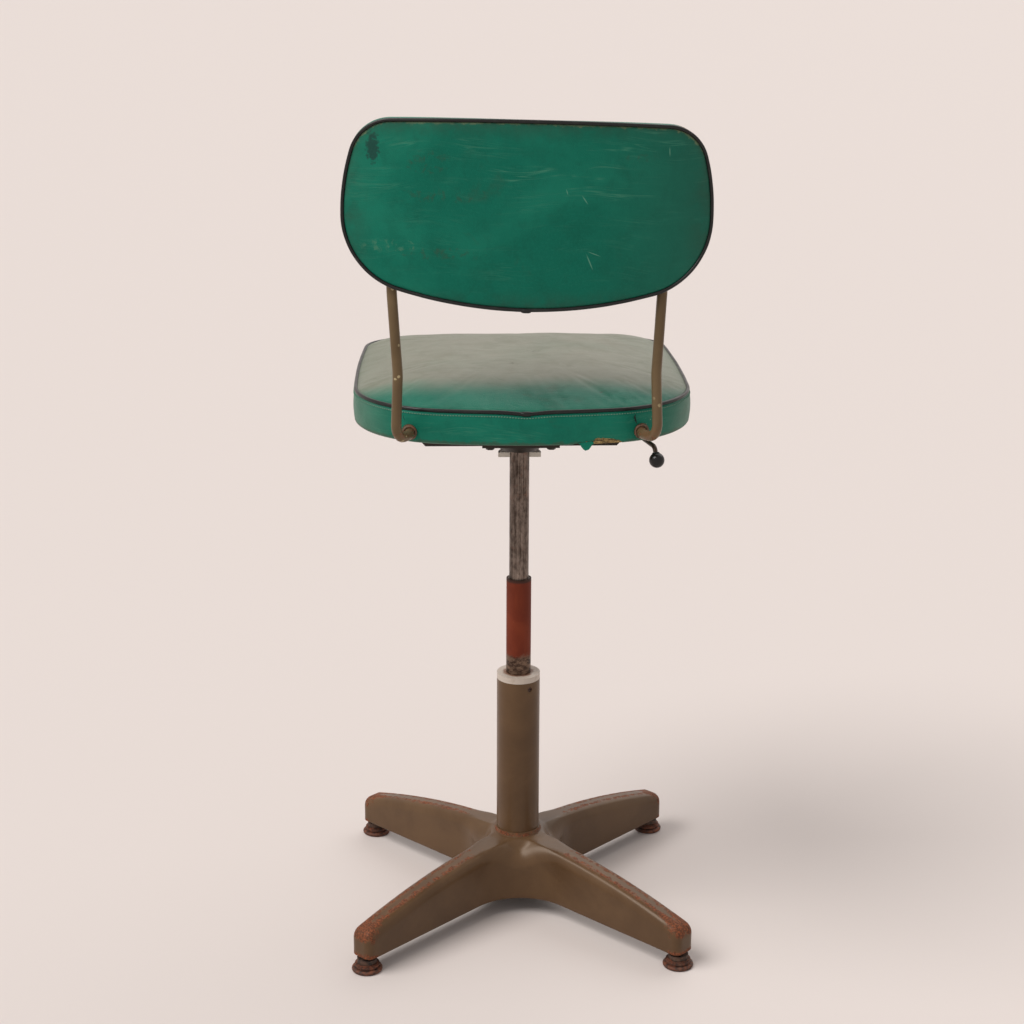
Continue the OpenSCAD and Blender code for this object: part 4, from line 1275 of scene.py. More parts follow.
    def mark_wear(self, piece: bpy.types.Object) -> None:
        """Mask the ridges and leg ends, where the enamel has rusted.

        Args:
            piece: The casting.
        """
        co = points_of(piece)
        xy, z = co[:, :2], co[:, 2]
        r = np.linalg.norm(xy, axis=1)
        spun = np.stack([xy[:, 0] + xy[:, 1], xy[:, 1] - xy[:, 0]], 1) / math.sqrt(2)
        aside = spun[np.arange(len(r)), np.abs(spun).argmin(1)]
        inset = self.inset_of(xy)
        upper = smooth(z, 0.040, 0.054) * (inset > -1)
        crown = np.exp(-((np.abs(aside) - 0.0065) / 0.006) ** 2) * smooth(r, 0.04, 0.11)
        ends = smooth(r, 0.245, 0.284) * smooth(z, 0.032, 0.05)
        foot = smooth(r, 0.2705, 0.2765) * (1 - smooth(z, 0.024, 0.036)) * 0.6
        ring = np.exp(-((r - 0.0303) / 0.0012) ** 2) * smooth(z, 0.094, 0.097)
        low = (1 - smooth(z, 0.0225, 0.0275)) * 0.35
        values = np.clip(0.74 * crown * upper + 0.62 * ends + foot + 0.75 * ring + low, 0, 1)
        set_mask(piece, "wear", values)

    def bosses(self) -> bpy.types.Object:
        """Build the four bosses inside the legs that take the feet's stems."""
        verts, faces = [], []
        for foot in ("glide_front_left", "glide_front_right", "glide_back_left", "glide_back_right"):
            lo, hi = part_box(foot)
            middle = (lo + hi) / 2
            v, f = turned([(0.0051, 0.0222), (0.0088, 0.0222), (0.0095, 0.0229), (0.0098, 0.049),
                           (0.0051, 0.049)],
                          Vector((middle.x, middle.y, 0)), Vector((0, 0, 1)), 32)
            faces += [tuple(i + len(verts) for i in face) for face in f]
            verts += v
        piece = make_piece("foot_bosses", verts, faces)
        set_mask(piece, "wear", [0.5] * len(piece.data.vertices))
        return piece

    def dress(self) -> None:
        """Build and finish the base and its feet."""
        fit(self.make(), "base", BASE_PAINT, ["base_star"])
        fit(self.bosses(), "base", BASE_PAINT)
        for foot in ("glide_front_left", "glide_front_right", "glide_back_left", "glide_back_right"):
            dress(foot, RUSTY)
        dress("foot_stems", DARK_STEEL)
        dress("foot_nuts", RustyIron("foot_nut_iron", srgb(92, 66, 52), srgb(40, 32, 28)))


@dataclass
class Column:
    """The sliding column between base and seat."""

    bare_length: float = 0.347

    def dress(self) -> None:
        """Finish the column's nodes."""
        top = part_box("middle_tube")[1].z
        dress("column_tube", Enamel("column_enamel"))
        dress("column_bush", NYLON)
        dress("bush_screw", RustyIron("set_screw_iron", srgb(100, 58, 40), srgb(40, 24, 18)))
        dress("middle_tube", Primer("red_primer", top, self.bare_length))
        for node in ("middle_guide", "horseshoe_clip"):
            dress(node, CLIP_NYLON)
        for node in ("spindle", "spindle_stop", "spindle_bush"):
            dress(node, BARE_STEEL)
        for node in ("spindle_clip", "thrust_washer"):
            dress(node, DARK_STEEL)


# ---- seat ------------------------------------------------------------------------------------


@dataclass
class SeatCushion:
    """The seat: crowned vinyl top, piping, side band with its stitches and its tear."""

    outline: Outline = field(default_factory=lambda: Outline(
        (-0.230, 1.100, 0.062), (0.199, 0.520, 0.125), (0.204, 2.600, 0.0)))
    piping_r: float = 0.0022
    crown: float = 0.0175
    lip: float = 0.014
    tear: tuple[float, float] = (-0.056, -0.113)
    piping_z: float = field(init=False)
    low_z: float = field(init=False)

    def __post_init__(self) -> None:
        """Take the heights from the frame."""
        lo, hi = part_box("seat_piping")
        self.piping_z = (lo.z + hi.z) / 2
        self.low_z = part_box("seat_boxing")[0].z

    def dip(self, x: np.ndarray, y: np.ndarray) -> np.ndarray:
        """Give how far the seam sags at the joint behind, where the two ends meet."""
        return -0.0022 * np.exp(-(x / 0.02) ** 2) * smooth(y, 0.1, 0.18)

    def top(self) -> bpy.types.Object:
        """Build the stuffed top as one closed cushion."""
        points, outs = self.outline.ring(288)
        rings, held, rims = [], [], []
        z0 = self.piping_z
        inner = points - outs * 0.024
        seam_dip = self.dip(points[:, 0], points[:, 1])
        middle = np.array([0.0, -0.015])

        def add(xy: np.ndarray, z: np.ndarray, hold: float, rim: float) -> None:
            """Add one ring with its hold and its nearness to the seam."""
            rings.append(np.column_stack([xy, z]))
            held.extend([hold] * len(xy))
            rims.extend([rim] * len(xy))

        for t in (0.25, 0.6, 0.9):
            add(middle + (inner - middle) * t, np.full(288, z0 - 0.0015), 1, 0)
        add(points - outs * 0.0055, z0 - 0.0012 + seam_dip, 1, 1)
        for inset in (0.0036, 0.0038, 0.0048, 0.0065, 0.009, 0.012, 0.016, 0.020, 0.024):
            rise = self.crown * (1 - (1 - min(1, (inset - 0.0036) / 0.11)) ** 2.6)
            tuck = 0.0022 * (inset - 0.0036 > 0) * math.exp(-(inset - 0.0036) / 0.004)
            add(points - outs * inset,
                z0 + 0.0008 + rise + 0.0014 - tuck + seam_dip * math.exp(-inset / 0.02),
                1 if inset < 0.0045 else (0.5 if inset < 0.007 else 0), math.exp(-(inset - 0.0036) / 0.003))
        for t in np.linspace(0, 1, 26)[1:]:
            xy = middle + (inner - middle) * (1 - t * 0.985)
            far = 0.0204 + np.linalg.norm(inner - middle, axis=1) * t
            rise = self.crown * (1 - (1 - np.clip(far / 0.11, 0, 1)) ** 2.6)
            add(xy, z0 + 0.0022 + rise, 0, 0)
        verts, faces = ring_mesh(rings, Cap.POINT, Cap.POINT)
        held += [1, 0]
        rims += [0, 0]
        piece = make_piece("seat_cushion", verts, faces)
        swell(piece, np.array(held), 3.0, 0.005)
        set_mask(piece, "rim", rims)
        self.pucker(piece, np.array(rims))
        piece.modifiers.new("finer", "SUBSURF").render_levels = 1
        return piece

    def pucker(self, piece: bpy.types.Object, rims: np.ndarray) -> None:
        """Draw small gathers in along the seam and shallow hollows over the top.

        Args:
            piece: The cushion.
            rims: Nearness to the seam.
        """
        co = points_of(piece)
        around = np.arctan2(co[:, 1], co[:, 0])
        gathers = np.sin(around * 150 + 3 * np.sin(around * 7)) * 0.00028 * smooth(rims, 0.02, 0.3)
        hollows = np.array([noise.noise(Vector(p) * 11) + 0.4 * noise.noise(Vector(p) * 31) for p in co])
        above = smooth(co[:, 2], self.piping_z + 0.004, self.piping_z + 0.016)
        co[:, 2] += gathers + hollows * 0.0014 * above
        piece.data.vertices.foreach_set("co", co.ravel())
        piece.data.update()

    def piping(self) -> tuple[list, list]:
        """Sweep the piping round the top seam."""
        points, outs = self.outline.ring(360)
        line = points - outs * (self.piping_r - 0.0004)
        dip = self.dip(line[:, 0], line[:, 1])
        path = [Vector((p[0], p[1], self.piping_z + d)) for p, d in zip(line, dip)]
        radii = [self.piping_r * (1 + 0.10 * noise.noise(p * 45)) for p in path]
        return swept(path, radii, 14, closed=True)

    def joint(self) -> tuple[list, list]:
        """Wrap the place behind where the piping's two ends meet."""
        points, outs = self.outline.ring(720)
        middle = 360
        path = [Vector((points[i][0], points[i][1] - (self.piping_r - 0.0006),
                        self.piping_z + float(self.dip(points[i][0], points[i][1]))))
                for i in range(middle - 3, middle + 4)]
        return swept(path, [0.0021, 0.0028, 0.00295, 0.0030, 0.00295, 0.0028, 0.0021], 14)

    def torn(self, x: float, y: float) -> float:
        """Give how much of the band's lower edge is torn away at a place.

        Args:
            x: Place across the seat.
            y: Place along it.

        Returns:
            Height of the tear in metres.
        """
        right, left = self.tear
        if y < 0.1 or not left < x < right:
            return 0.0
        t = (right - x) / (right - left)
        shape = math.sin(math.pi * t) ** 0.5 * (0.0045 + 0.0032 * (t > 0.4))
        return max(0.0, shape + 0.0016 * noise.noise(Vector((x * 420, 0,
            0))) + 0.001 * noise.noise(Vector((x * 1500, 5, 0))))

    def band(self) -> bpy.types.Object:
        """Build the side band, turned under the frame, with a torn edge at the back."""
        count = 1120
        points, outs = self.outline.ring(count)
        top = self.piping_z - self.piping_r + 0.0004
        tall = top - self.low_z
        torn = np.array([self.torn(p[0], p[1]) for p in points])
        dip = self.dip(points[:, 0], points[:, 1])
        ripple = np.array([noise.noise(Vector((p[0] * 16, p[1] * 16, 3))) for p in points])
        index = np.arange(count)
        rings, rims = [], []
        for s in (0.0, 0.02, 0.05, 0.09, 0.14, 0.22, 0.32, 0.44, 0.56, 0.68, 0.78, 0.86, 0.92, 0.96, 1.0):
            bulge = 0.0016 * math.sin(math.pi * min(1, s * 1.05)) + 0.0007 * ripple * math.sin(math.pi * s)
            stitch = (0.00045 * (0.5 + 0.5 * np.sin(index * 2 * math.pi / 2.5))
                      * math.exp(-((s - 0.055) / 0.035) ** 2))
            tuck = 0.0018 * math.exp(-s / 0.035)
            corner = 0.003 * max(0, (s - 0.92) / 0.08) ** 2
            at = points + outs * (bulge - stitch - tuck - corner)[:, None] if np.ndim(bulge) else points
            z = top + dip * (1 - s) - tall * s
            z = np.maximum(z, self.low_z + torn)
            rings.append(np.column_stack([at, z]))
            rims.append(0.75 * s ** 3 + 0.35 * math.exp(-s / 0.05))
        whole = torn < 0.0004
        for inward, drop in ((0.0045, 0.0), (self.lip, 0.0003), (self.lip, 0.0015), (0.0045, 0.0015)):
            at = points - outs * np.where(whole, inward, 0.0012 + 0.0004 * (drop > 0))[:, None]
            z = np.where(whole, self.low_z + drop, self.low_z + torn + drop)
            rings.append(np.column_stack([at, z]))
            rims.append(0.8)
        rings.append(np.column_stack([points - outs * 0.0015, np.full(count, top - 0.003)]))
        rims.append(0.3)
        rings.append(np.column_stack([points - outs * 0.0015, np.full(count, top)]))
        rims.append(0.3)
        verts, faces = ring_mesh(rings, loop=True)
        piece = make_piece("seat_side_band", verts, faces, 55)
        set_mask(piece, "rim",
                 [rims[i // count] for i in range(len(verts))] if len(piece.data.vertices) == len(verts)
                 else smooth(-points_of(piece)[:, 2], -self.low_z - 0.012, -self.low_z))
        return piece

    def stitches(self) -> tuple[list, list]:
        """Lay a row of short stitches just under the piping."""
        points, outs = self.outline.ring(448)
        verts, faces = [], []
        for i in range(0, 448):
            p, q = points[i], points[(i + 1) % 448]
            z = self.piping_z - 0.0047 + float(self.dip(p[0], p[1]))
            a = Vector((*(p + outs[i] * 0.0004), z))
            b = Vector((*(p + (q - p) * 0.62 + outs[i] * 0.0004), z))
            v, f = swept([a, (a + b) / 2 + Vector((*outs[i], 0)) * 0.00012, b], [0.0005, 0.0008, 0.0005], 5)
            faces += [tuple(k + len(verts) for k in face) for face in f]
            verts += v
        return verts, faces

    def flap(self) -> tuple[list, list]:
        """Hang the torn-off scrap of vinyl below the band."""
        rings = []
        for t in np.linspace(0, 1, 9):
            x = self.tear[0] - 0.004 - 0.017 * t
            y = 0.1985 - x * x / 1.04
            hang = 0.0075 * math.sin(math.pi * min(1,
                t * 1.12)) ** 0.8 + 0.0006 * noise.noise(Vector((t * 9, 0, 0)))
            curl = 0.0018 * math.sin(math.pi * t)
            high = self.low_z + 0.0022 + 0.002 * t
            low = self.low_z - hang + 0.0018
            rings.append([(x, y + 0.0009, high), (x - 0.001, y + 0.0009 + curl, (high + low) / 2),
                          (x - 0.002, y + 0.0014 + curl * 1.6, low),
                          (x - 0.002, y + 0.0004 + curl * 1.6, low),
                          (x - 0.001, y - 0.0002 + curl, (high + low) / 2), (x, y - 0.0003, high)])
        return ring_mesh(rings, Cap.POINT, Cap.POINT)

    def frayed(self) -> tuple[list, list]:
        """Show the frayed edge of wadding over the frame inside the tear."""
        rings = []
        right, left = self.tear
        for t in np.linspace(0, 1, 120):
            x = right - 0.015 + (left - right + 0.013) * t
            y = 0.1985 - x * x / 1.04
            jag = 0.0010 * noise.noise(Vector((t * 90, 1, 0))) + 0.0006 * noise.noise(Vector((t * 260, 4, 0)))
            low = self.low_z + 0.0004 + jag
            high = self.low_z + 0.0105
            y -= 0.0024 + 0.0006 * noise.noise(Vector((t * 150, 9, 0)))
            rings.append([(x, y, high), (x, y + 0.0008, (low + high) / 2), (x, y, low), (x, y - 0.0022, low),
                          (x, y - 0.0022, high)])
        return ring_mesh(rings, Cap.POINT, Cap.POINT)

    def tear_staples(self) -> tuple[list, list]:
        """Set the bent staples that show in the tear."""
        verts, faces = [], []
        for k, t in enumerate((0.42, 0.53, 0.63, 0.74, 0.86)):
            x = self.tear[0] + (self.tear[1] - self.tear[0]) * t
            y = 0.1985 - x * x / 1.04
            z = self.low_z + 0.0036 + 0.0012 * math.sin(k * 2.3)
            lean = 0.0011 * math.cos(k * 1.9)
            v, f = swept([Vector((x + 0.0028, y - 0.0026, z)), Vector((x + 0.0026, y - 0.0006, z)),
                          Vector((x - 0.0026, y - 0.0006, z + lean)),
                          Vector((x - 0.0028, y - 0.0026, z + lean))],
                         [0.00035] * 4, 6)
            faces += [tuple(i + len(verts) for i in face) for face in f]
            verts += v
        return verts, faces

    def slit(self, x: float, high: float, low: float, wide: float) -> tuple[list, list]:
        """Open a slit in the band: a dark sliver a hair proud of the vinyl, painted shade standing in for the
        shadowed opening.

        Args:
            x: Place across the seat.
            high: Height of its top.
            low: Height of its foot.
            wide: Half its width.

        Returns:
            Vertices and faces.
        """
        rings = []
        for t in np.linspace(0, 1, 12):
            z = high + (low - high) * t
            at = x + 0.0009 * math.sin(t * 5)
            half = wide * math.sin(math.pi * (0.08 + 0.84 * t)) * (1 + 0.3 * noise.noise(Vector((t * 20,
                                                                                                 x * 90, 0))))
            y = 0.1985 - at * at / 1.04 + 0.00215 * math.sin(math.pi * (self.piping_z - z) / 0.04)
            rings.append([(at - half, y, z), (at, y + 0.0003, z), (at + half, y, z), (at, y - 0.0012, z)])
        return ring_mesh(rings, Cap.POINT, Cap.POINT)

    def dress(self) -> None:
        """Build and finish the seat's pieces."""
        fit(self.top(), "seat", Vinyl("seat_top_vinyl", Cover.SEAT),
            ["seat_top_panel", "seat_foam"])
        fit(self.band(), "seat", Vinyl("side_band_vinyl", Cover.SIDE), ["seat_boxing"])
        fit(make_piece("seat_piping_cord", *self.piping()), "seat", PIPING, ["seat_piping"])
        fit(make_piece("seat_piping_joint", *self.joint()), "seat", PIPING)
        fit(make_piece("seat_stitches", *self.stitches()), "seat", THREAD)
        flap = make_piece("torn_flap", *self.flap())
        set_mask(flap, "rim", [0.2] * len(flap.data.vertices))
        fit(flap, "seat", Vinyl("side_band_vinyl", Cover.SIDE))
        fit(make_piece("torn_wadding", *self.frayed()), "seat", WADDING)
        fit(make_piece("torn_staples", *self.tear_staples()), "seat", DARK_STEEL)
        # Painted shade: the slits' dark slivers stand in for the shade inside each cut.
        slit_shade = Plastic("slit_painted_shade", srgb(14, 22, 18), srgb(30, 40, 34), 0.8)
        fit(make_piece("slit_shade_right", *self.slit(-0.1275, 0.711, 0.6995, 0.0009)), "seat",
            slit_shade)
        fit(make_piece("slit_shade_left", *self.slit(0.141, 0.7105, 0.703, 0.0003)), "seat", slit_shade)
        dress("boxing_staples", DARK_STEEL)
        for node in ("seat_frame", "seat_deck"):
            dress(node, WOOD)


@dataclass
class Undercarriage:
    """Hub plate, bars, rail and the sleeves that hold the back's tubes."""

    lip_round: float = 0.0022
    sleeve_bore: float = 0.0061

    def sleeve(self, node: str) -> bpy.types.Object:
        """Turn one sleeve with a rolled rim at its open end.

        Args:
            node: The node that it replaces.

        Returns:
            The turned sleeve.
        """
        lo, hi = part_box(node)
        middle = Vector(((lo.x + hi.x) / 2, 0, (lo.z + hi.z) / 2))
        r, bore, roll = (hi.x - lo.x) / 2, self.sleeve_bore, self.lip_round
        arc = [(r - roll + roll * math.sin(a),
                hi.y - roll + roll * math.cos(a)) for a in np.linspace(math.pi / 2, 0, 8)]
        arc += [(bore + 0.0006 - 0.0006 * math.sin(a), hi.y - 0.0006 + 0.0006 * math.cos(a))
                for a in np.linspace(0, math.pi / 2, 4)]
        profile = [(bore, lo.y), (r - 0.0005, lo.y), (r, lo.y + 0.0005), (r, hi.y - 0.012),
                   (r, hi.y - 0.004)] + arc
        return make_piece(node + "_turned", *turned(profile, middle, Vector((0, 1, 0)), 48))

    def dress(self) -> None:
        """Finish the nodes under the seat and replace the sleeves."""
        for node in ("hub_plate", "support_bar_front", "support_bar_rear", "cross_rail", "plate_bolts"):
            dress(node, BLACK_PAINT)
        for node in ("plate_nuts", "bar_screws", "clamp_block"):
            dress(node, DARK_STEEL)
        for node in ("sleeve_left", "sleeve_right"):
            fit(self.sleeve(node), "seat", SLEEVE_STEEL, [node])


# ---- back ------------------------------------------------------------------------------------


@dataclass
class BackTubes:
    """The two bent tubes that carry the back."""

    radius: float = 0.0059
    bend: float = 0.017
    upright_x: float = 0.148
    upright_y: float = 0.219
    top_x: float = 0.153
    enter: float = 0.018
    inside: float = 0.145

    def route(self, side: int, sleeve: str, behind: Callable[[float], float]) -> list[Vector]:
        """Plan one tube from inside its sleeve up into the back.

        Args:
            side: 1 for +X, -1 for -X.
            sleeve: The sleeve's node.
            behind: Gives the tube's distance behind the column at a distance across.

        Returns:
            Points of the tube's centre line.
        """
        lo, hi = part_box(sleeve)
        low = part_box("back_piping")[0].z
        x, z = (lo.x + hi.x) / 2, (lo.z + hi.z) / 2
        enter = low + self.enter
        y = behind(self.top_x)
        corners = [Vector((x, lo.y + 0.005, z)), Vector((x, hi.y + self.bend / 2, z)),
                   Vector((side * (self.upright_x + 0.002), self.upright_y, z)),
                   Vector((side * (self.upright_x - 0.001), self.upright_y - 0.004, (z + enter) / 2 - 0.008)),
                   Vector((side * self.top_x, y, enter)), Vector((side * self.top_x, y, low + self.inside))]
        return evenly(rounded_path(corners, [self.bend, self.bend, self.bend * 4, self.bend * 3]), 0.004)

    def tube(self, side: int, sleeve: str, behind: Callable[[float], float], name: str) -> bpy.types.Object:
        """Sweep one tube and mask its bends, where the enamel has chipped.

        Args:
            side: 1 for +X, -1 for -X.
            sleeve: The sleeve's node.
            behind: Gives the tube's place behind the column.
            name: The piece's name.

        Returns:
            The swept tube.
        """
        path = self.route(side, sleeve, behind)
        piece = make_piece(name, *swept(path, [self.radius] * len(path), 28))
        co = points_of(piece)
        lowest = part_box(sleeve)[1].z
        wear = 0.25 + 0.45 * np.exp(-((co[:, 2] - lowest + 0.004) / 0.018) ** 2)
        set_mask(piece, "wear", wear)
        return piece


@dataclass
class Backrest:
    """The curved back: rear panel, piping and the padded front, hung a little askew."""

    outline: Outline = field(default_factory=lambda: Outline(
        (0.8405, 0.580, 0.086), (1.0525, 3.300, 0.050), (0.2092, 0.240, 0.945)))
    curve_r: float = 0.650
    piping_r: float = 0.0020
    askew_deg: float = 1.4
    depth: float = 0.047
    rear_y: float = field(init=False)

    def __post_init__(self) -> None:
        """Take the rear face's place from the frame."""
        self.rear_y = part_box("rear_panel")[1].y

    def on_curve(self, x: np.ndarray, r: float) -> np.ndarray:
        """Give Y on an upright cylinder of radius r about the back's own centre."""
        return self.rear_y - self.curve_r + np.sqrt(r * r - np.square(x))

    def hang(self, co: np.ndarray) -> np.ndarray:
        """Turn points a little about the back's middle, as the real one hangs.

        Args:
            co: Points of a piece.

        Returns:
            The turned points.
        """
        a = math.radians(self.askew_deg)
        z0 = self.outline.side[2]
        x, z = co[:, 0].copy(), co[:, 2] - z0
        out = co.copy()
        out[:, 0] = x * math.cos(a) - z * math.sin(a)
        out[:, 2] = z0 + x * math.sin(a) + z * math.cos(a)
        return out

    def layer(self, xz: np.ndarray, r: float) -> np.ndarray:
        """Lift flat outline points onto the curve."""
        return np.column_stack([xz[:, 0], self.on_curve(xz[:, 0], r), xz[:, 1]])

    def panel(self) -> bpy.types.Object:
        """Build the rear panel, softly domed and tucked in at the piping."""
        count = 400
        points, outs = self.outline.ring(count)
        middle = np.array([0.0, 0.952])
        inner = points - outs * 0.03
        slim = 2 * self.piping_r - 0.005
        rings, rims = [], []
        for inset, lift in ((0.0046, -0.0030), (0.0047, -0.0012), (0.0052, -0.0002), (0.0062, 0.0003),
                            (0.0080, 0.0007),
                            (0.011, 0.0010), (0.015, 0.0012), (0.020, 0.0013), (0.025, 0.0014),
                            (0.030, 0.0015)):
            rings.append(self.layer(points - outs * (inset + slim), self.curve_r + lift - 0.0012))
            rims.append(math.exp(-max(0, inset - 0.0047) / 0.0035))
        for t in np.linspace(0, 1, 20)[1:]:
            rings.append(self.layer(middle + (inner - middle) * (1 - t * 0.985), self.curve_r + 0.0003))
            rims.append(0)
        verts, faces = ring_mesh(rings, Cap.NONE, Cap.POINT)
        co = self.hang(np.array(verts))
        dents = np.array([noise.noise(Vector(p) * 9) + 0.35 * noise.noise(Vector(p) * 40) for p in co])
        co[:, 1] += dents * 0.0006
        piece = make_piece("back_rear_panel", co, faces)
        set_mask(piece, "rim", [r for r in rims for _ in range(count)] + [0])
        return piece

    def front(self) -> bpy.types.Object:
        """Build the padded front and its sides, stuffed by simulation."""
        count = 288
        points, outs = self.outline.ring(count)
        middle = np.array([0.0, 0.952])
        rings, held, rims = [], [], []
        seam_r = self.curve_r - 0.0042

        def add(xz: np.ndarray, r: float, hold: float, rim: float) -> None:
            """Add one ring with its hold and its nearness to the seam."""
            rings.append(self.layer(xz, r))
            held.extend([hold] * len(xz))
            rims.extend([rim] * len(xz))

        for t in (0.3, 0.7):
            add(middle + (points - outs * 0.006 - middle) * t, seam_r - 0.0003, 1, 0)
        add(points - outs * 0.0060, seam_r - 0.0003, 1, 1)
        add(points - outs * 0.0030, seam_r - 0.0010, 1, 1)
        for depth, inset, hold in ((0.004, 0.0016, 0.6), (0.009, 0.0006, 0.1), (0.016, 0.0002, 0),
                                   (0.023, 0.0012, 0),
                                   (0.030, 0.0042, 0), (0.0355, 0.0090, 0), (0.0390, 0.0150, 0),
                                   (0.0412, 0.022, 0),
                                   (0.0425, 0.030, 0)):
            add(points - outs * inset, seam_r - depth, hold, math.exp(-depth / 0.004))
        inner = points - outs * 0.030
        for t in np.linspace(0, 1, 22)[1:]:
            add(middle + (inner - middle) * (1 - t * 0.985), seam_r - 0.0425 - 0.0012 * smooth(t, 0, 0.6), 0,
                0)
        verts, faces = ring_mesh(rings, Cap.POINT, Cap.POINT)
        piece = make_piece("back_cushion", verts, faces)
        swell(piece, np.array(held + [1, 0]), 2.5, 0.005)
        co = self.hang(points_of(piece))
        dents = np.array([noise.noise(Vector(p) * 12) for p in co])
        co[:, 1] += dents * 0.0012 * smooth(-co[:, 1], -0.18, -0.15)
        piece.data.vertices.foreach_set("co", co.ravel())
        piece.data.update()
        set_mask(piece, "rim", rims + [0, 0])
        piece.modifiers.new("finer", "SUBSURF").render_levels = 1
        return piece

    def cord(self) -> tuple[list, list]:
        """Sweep the piping round the panel's seam."""
        points, outs = self.outline.ring(400)
        line = self.hang(self.layer(points - outs * self.piping_r, self.curve_r - 0.0013))
        path = [Vector(p) for p in line]
        return swept(path, [self.piping_r * (1 + 0.08 * noise.noise(p * 50)) for p in path], 14, closed=True)

    def welt(self) -> tuple[list, list]:
        """Lay the flat flange of the piping between it and the panel."""
        points, outs = self.outline.ring(400)
        rings = [self.hang(self.layer(points - outs * inset, self.curve_r + lift))
                 for inset, lift in ((0.0034, -0.0016), (0.0046, -0.0019), (0.0046, -0.0030),
                                     (0.0030, -0.0030))]
        return ring_mesh(rings, loop=True)

    def joint(self) -> tuple[list, list]:
        """Wrap the place at the bottom where the piping's ends meet."""
        points, outs = self.outline.ring(800)
        line = self.hang(self.layer(points - outs * (self.piping_r - 0.0002), self.curve_r - 0.0013))
        path = [Vector(line[i % 800]) - Vector((0, 0, 0.0006)) for i in range(-4, 5)]
        return swept(path, [0.0018, 0.0024, 0.0027, 0.0027, 0.0027, 0.0027, 0.0027, 0.0024, 0.0018], 14)

    def dress(self) -> None:
        """Build and finish the back and its tubes."""
        fit(self.panel(), "back", Vinyl("rear_panel_vinyl", Cover.REAR), ["rear_panel"])
        front = self.front()
        fit(front, "back", Vinyl("back_front_vinyl", Cover.FRONT),
            ["back_cover", "back_foam", "back_wadding"])
        fit(make_piece("back_piping_cord", *self.cord()), "back", PIPING, ["back_piping"])
        fit(make_piece("back_piping_flange", *self.welt()), "back", PIPING)
        fit(make_piece("back_piping_joint", *self.joint()), "back", PIPING)
        tubes = BackTubes()
        board_r = self.curve_r - 0.0178 + 0.0061
        for side, sleeve, name in ((1, "sleeve_left", "back_tube_left"),
                                   (-1, "sleeve_right", "back_tube_right")):
            piece = tubes.tube(side, sleeve, lambda x: float(self.on_curve(np.array(x), board_r)),
                               name + "_swept")
            fit(piece, "back", TUBE_PAINT, [name])
        dress("back_board", WOOD)
        for node in ("tube_saddles", "saddle_screws"):
            dress(node, DARK_STEEL)


@dataclass
class ClampLever:
    """The bent lever with its ball knob that clamps the right-hand tube."""

    radius: float = 0.00275

    def dress(self) -> None:
        """Build the lever and ball and finish the clamp screw."""
        lo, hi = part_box("ball_knob")
        ball = (lo + hi) / 2
        ball_r = (hi.z - lo.z) / 2
        screw_lo, screw_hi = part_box("clamp_screw")
        hub = Vector(((screw_lo.x + screw_hi.x) / 2, (screw_lo.y + screw_hi.y) / 2, screw_lo.z + 0.0034))
        elbow = Vector((hub.x - 0.015, ball.y - 0.008, hub.z))
        toward = (elbow - ball).normalized()
        path = evenly(rounded_path([hub + (elbow - hub).normalized() * 0.0015, elbow, ball + toward * 0.005],
                                   [0.009]), 0.002)
        rod = make_piece("lever_rod_swept", *swept(path, [self.radius] * len(path), 18))
        set_mask(rod, "wear", [0.2] * len(rod.data.vertices))
        fit(rod, "lever", Enamel("lever_enamel", srgb(62, 48, 36), srgb(48, 37, 28),
                                               rusting=0.8), ["lever_rod"])
        profile = [(ball_r * math.sin(a) + (0.0002 if abs(a - math.pi / 2) < 0.03 else 0),
                    -ball_r * math.cos(a))
                   for a in np.linspace(0, math.pi * 0.83, 40)]
        end = -ball_r * math.cos(math.pi * 0.83)
        profile += [(0.0047, end + 0.0006), (0.0042, end + 0.0012), (0.0032, end + 0.0012), (0.0030, 0.0)]
        knob = make_piece("ball_knob_moulded", *turned(profile, ball, toward, 48, loop=False), 60)
        fit(knob, "lever", BALL, ["ball_knob"])
        dress("clamp_screw", DARK_STEEL)


# ---- studio ----------------------------------------------------------------------------------


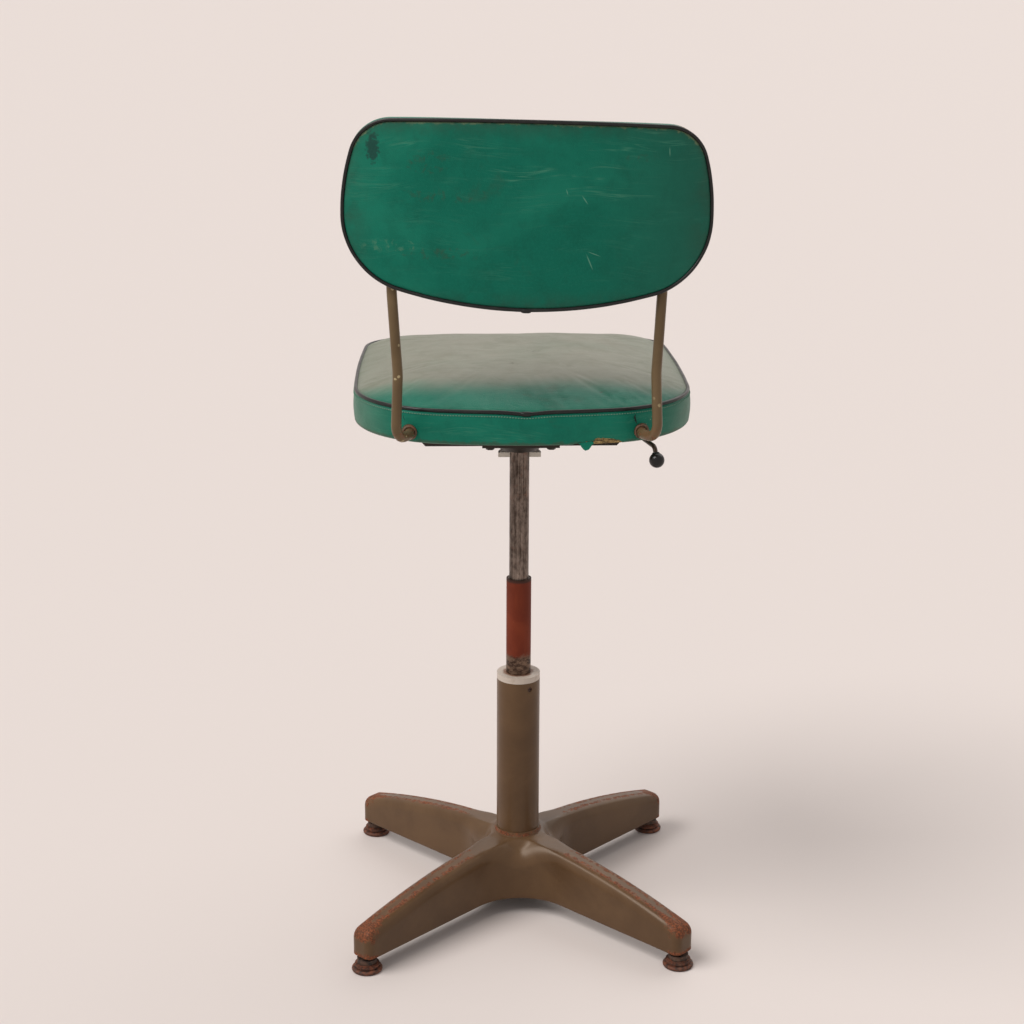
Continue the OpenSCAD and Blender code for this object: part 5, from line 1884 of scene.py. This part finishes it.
@dataclass
class Studio:
    """A plain pale floor, soft suns and the camera."""

    floor: Colour = srgb(219, 210, 206)
    eye: tuple[float, float, float] = (0.095, 2.433, 1.271)
    pitch_deg: float = 16.76
    yaw_deg: float = 2.02
    roll_deg: float = 0.23
    lens: float = 70.3

    def lay_floor(self) -> None:
        """Lay the floor."""
        verts, faces = turned([(0.0, 0.0), (3.0, 0.0), (60.0, 0.0)], Vector((0, 0, 0)), Vector((0, 0, 1)),
                              96, False)
        piece = make_piece("floor", verts, faces)
        made = bpy.data.materials.new("pale_floor")
        made.use_nodes = True
        shader = made.node_tree.nodes["Principled BSDF"]
        wire(Graph(made.node_tree), shader, self.floor, 0.8, Specular_IOR_Level=0.15)
        piece.data.materials.append(made)

    def light(self) -> None:
        """Set the soft suns and the pale surroundings."""
        world = bpy.data.worlds.new("studio")
        bpy.context.scene.world = world
        world.use_nodes = True
        g = Graph(world.node_tree)
        world.node_tree.nodes.clear()
        lit = g.add("ShaderNodeBackground", {"Color": srgb(236, 232, 230), "Strength": 0.52})
        seen = g.add("ShaderNodeBackground", {"Color": srgb(225, 217, 213), "Strength": 1.0})
        rays = g.add("ShaderNodeLightPath")
        plain = g.math("MAXIMUM", rays.outputs["Is Camera Ray"],
                       g.math("MAXIMUM", rays.outputs["Is Glossy Ray"], rays.outputs["Is Transmission Ray"]))
        both = g.add("ShaderNodeMixShader", {0: plain, 1: lit.outputs[0], 2: seen.outputs[0]})
        out = g.add("ShaderNodeOutputWorld")
        g.tree.links.new(both.outputs[0], out.inputs["Surface"])
        for name, toward, spread, power in (("key", (0.56, 0.24, 0.79), 38, 2.2),
                                            ("fill", (-0.4, -0.6, 0.7), 60, 0.70)):
            lamp = bpy.data.lights.new(name, "SUN")
            lamp.angle = math.radians(spread)
            lamp.energy = power
            lamp.color = (1.0, 0.975, 0.95)
            holder = bpy.data.objects.new(name, lamp)
            holder.location = Vector(toward) * 4
            holder.rotation_euler = Vector(toward).to_track_quat("Z", "Y").to_euler()
            bpy.context.scene.collection.objects.link(holder)

    def set_camera(self) -> None:
        """Stand the camera behind and above the chair."""
        lens = bpy.data.cameras.new("camera")
        lens.lens = self.lens
        lens.sensor_width = 36
        camera = bpy.data.objects.new("camera", lens)
        camera.location = self.eye
        pitch, yaw = math.radians(self.pitch_deg), math.radians(self.yaw_deg)
        ahead = Vector((-math.sin(yaw) * math.cos(pitch), -math.cos(yaw) * math.cos(pitch), -math.sin(pitch)))
        right = ahead.cross(Vector((0, 0, 1))).normalized()
        up = right.cross(ahead)
        roll = math.radians(self.roll_deg)
        x = right * math.cos(roll) + up * math.sin(roll)
        y = up * math.cos(roll) - right * math.sin(roll)
        camera.matrix_world = Matrix((
            (x.x, y.x, -ahead.x, self.eye[0]), (x.y, y.y, -ahead.y, self.eye[1]),
            (x.z, y.z, -ahead.z, self.eye[2]), (0, 0, 0, 1)))
        bpy.context.scene.collection.objects.link(camera)
        bpy.context.scene.camera = camera

    def set_up(self) -> None:
        """Set the view, the floor, the lamps and the camera."""
        bpy.context.scene.view_settings.view_transform = "Standard"
        self.lay_floor()
        self.light()
        self.set_camera()


def main() -> None:
    """Build the chair in its studio."""
    logging.basicConfig(level=logging.INFO, format="%(name)s: %(message)s")
    Studio().set_up()
    BaseCasting().dress()
    Column().dress()
    Undercarriage().dress()
    SeatCushion().dress()
    Backrest().dress()
    ClampLever().dress()


if __name__ == "__main__":
    main()
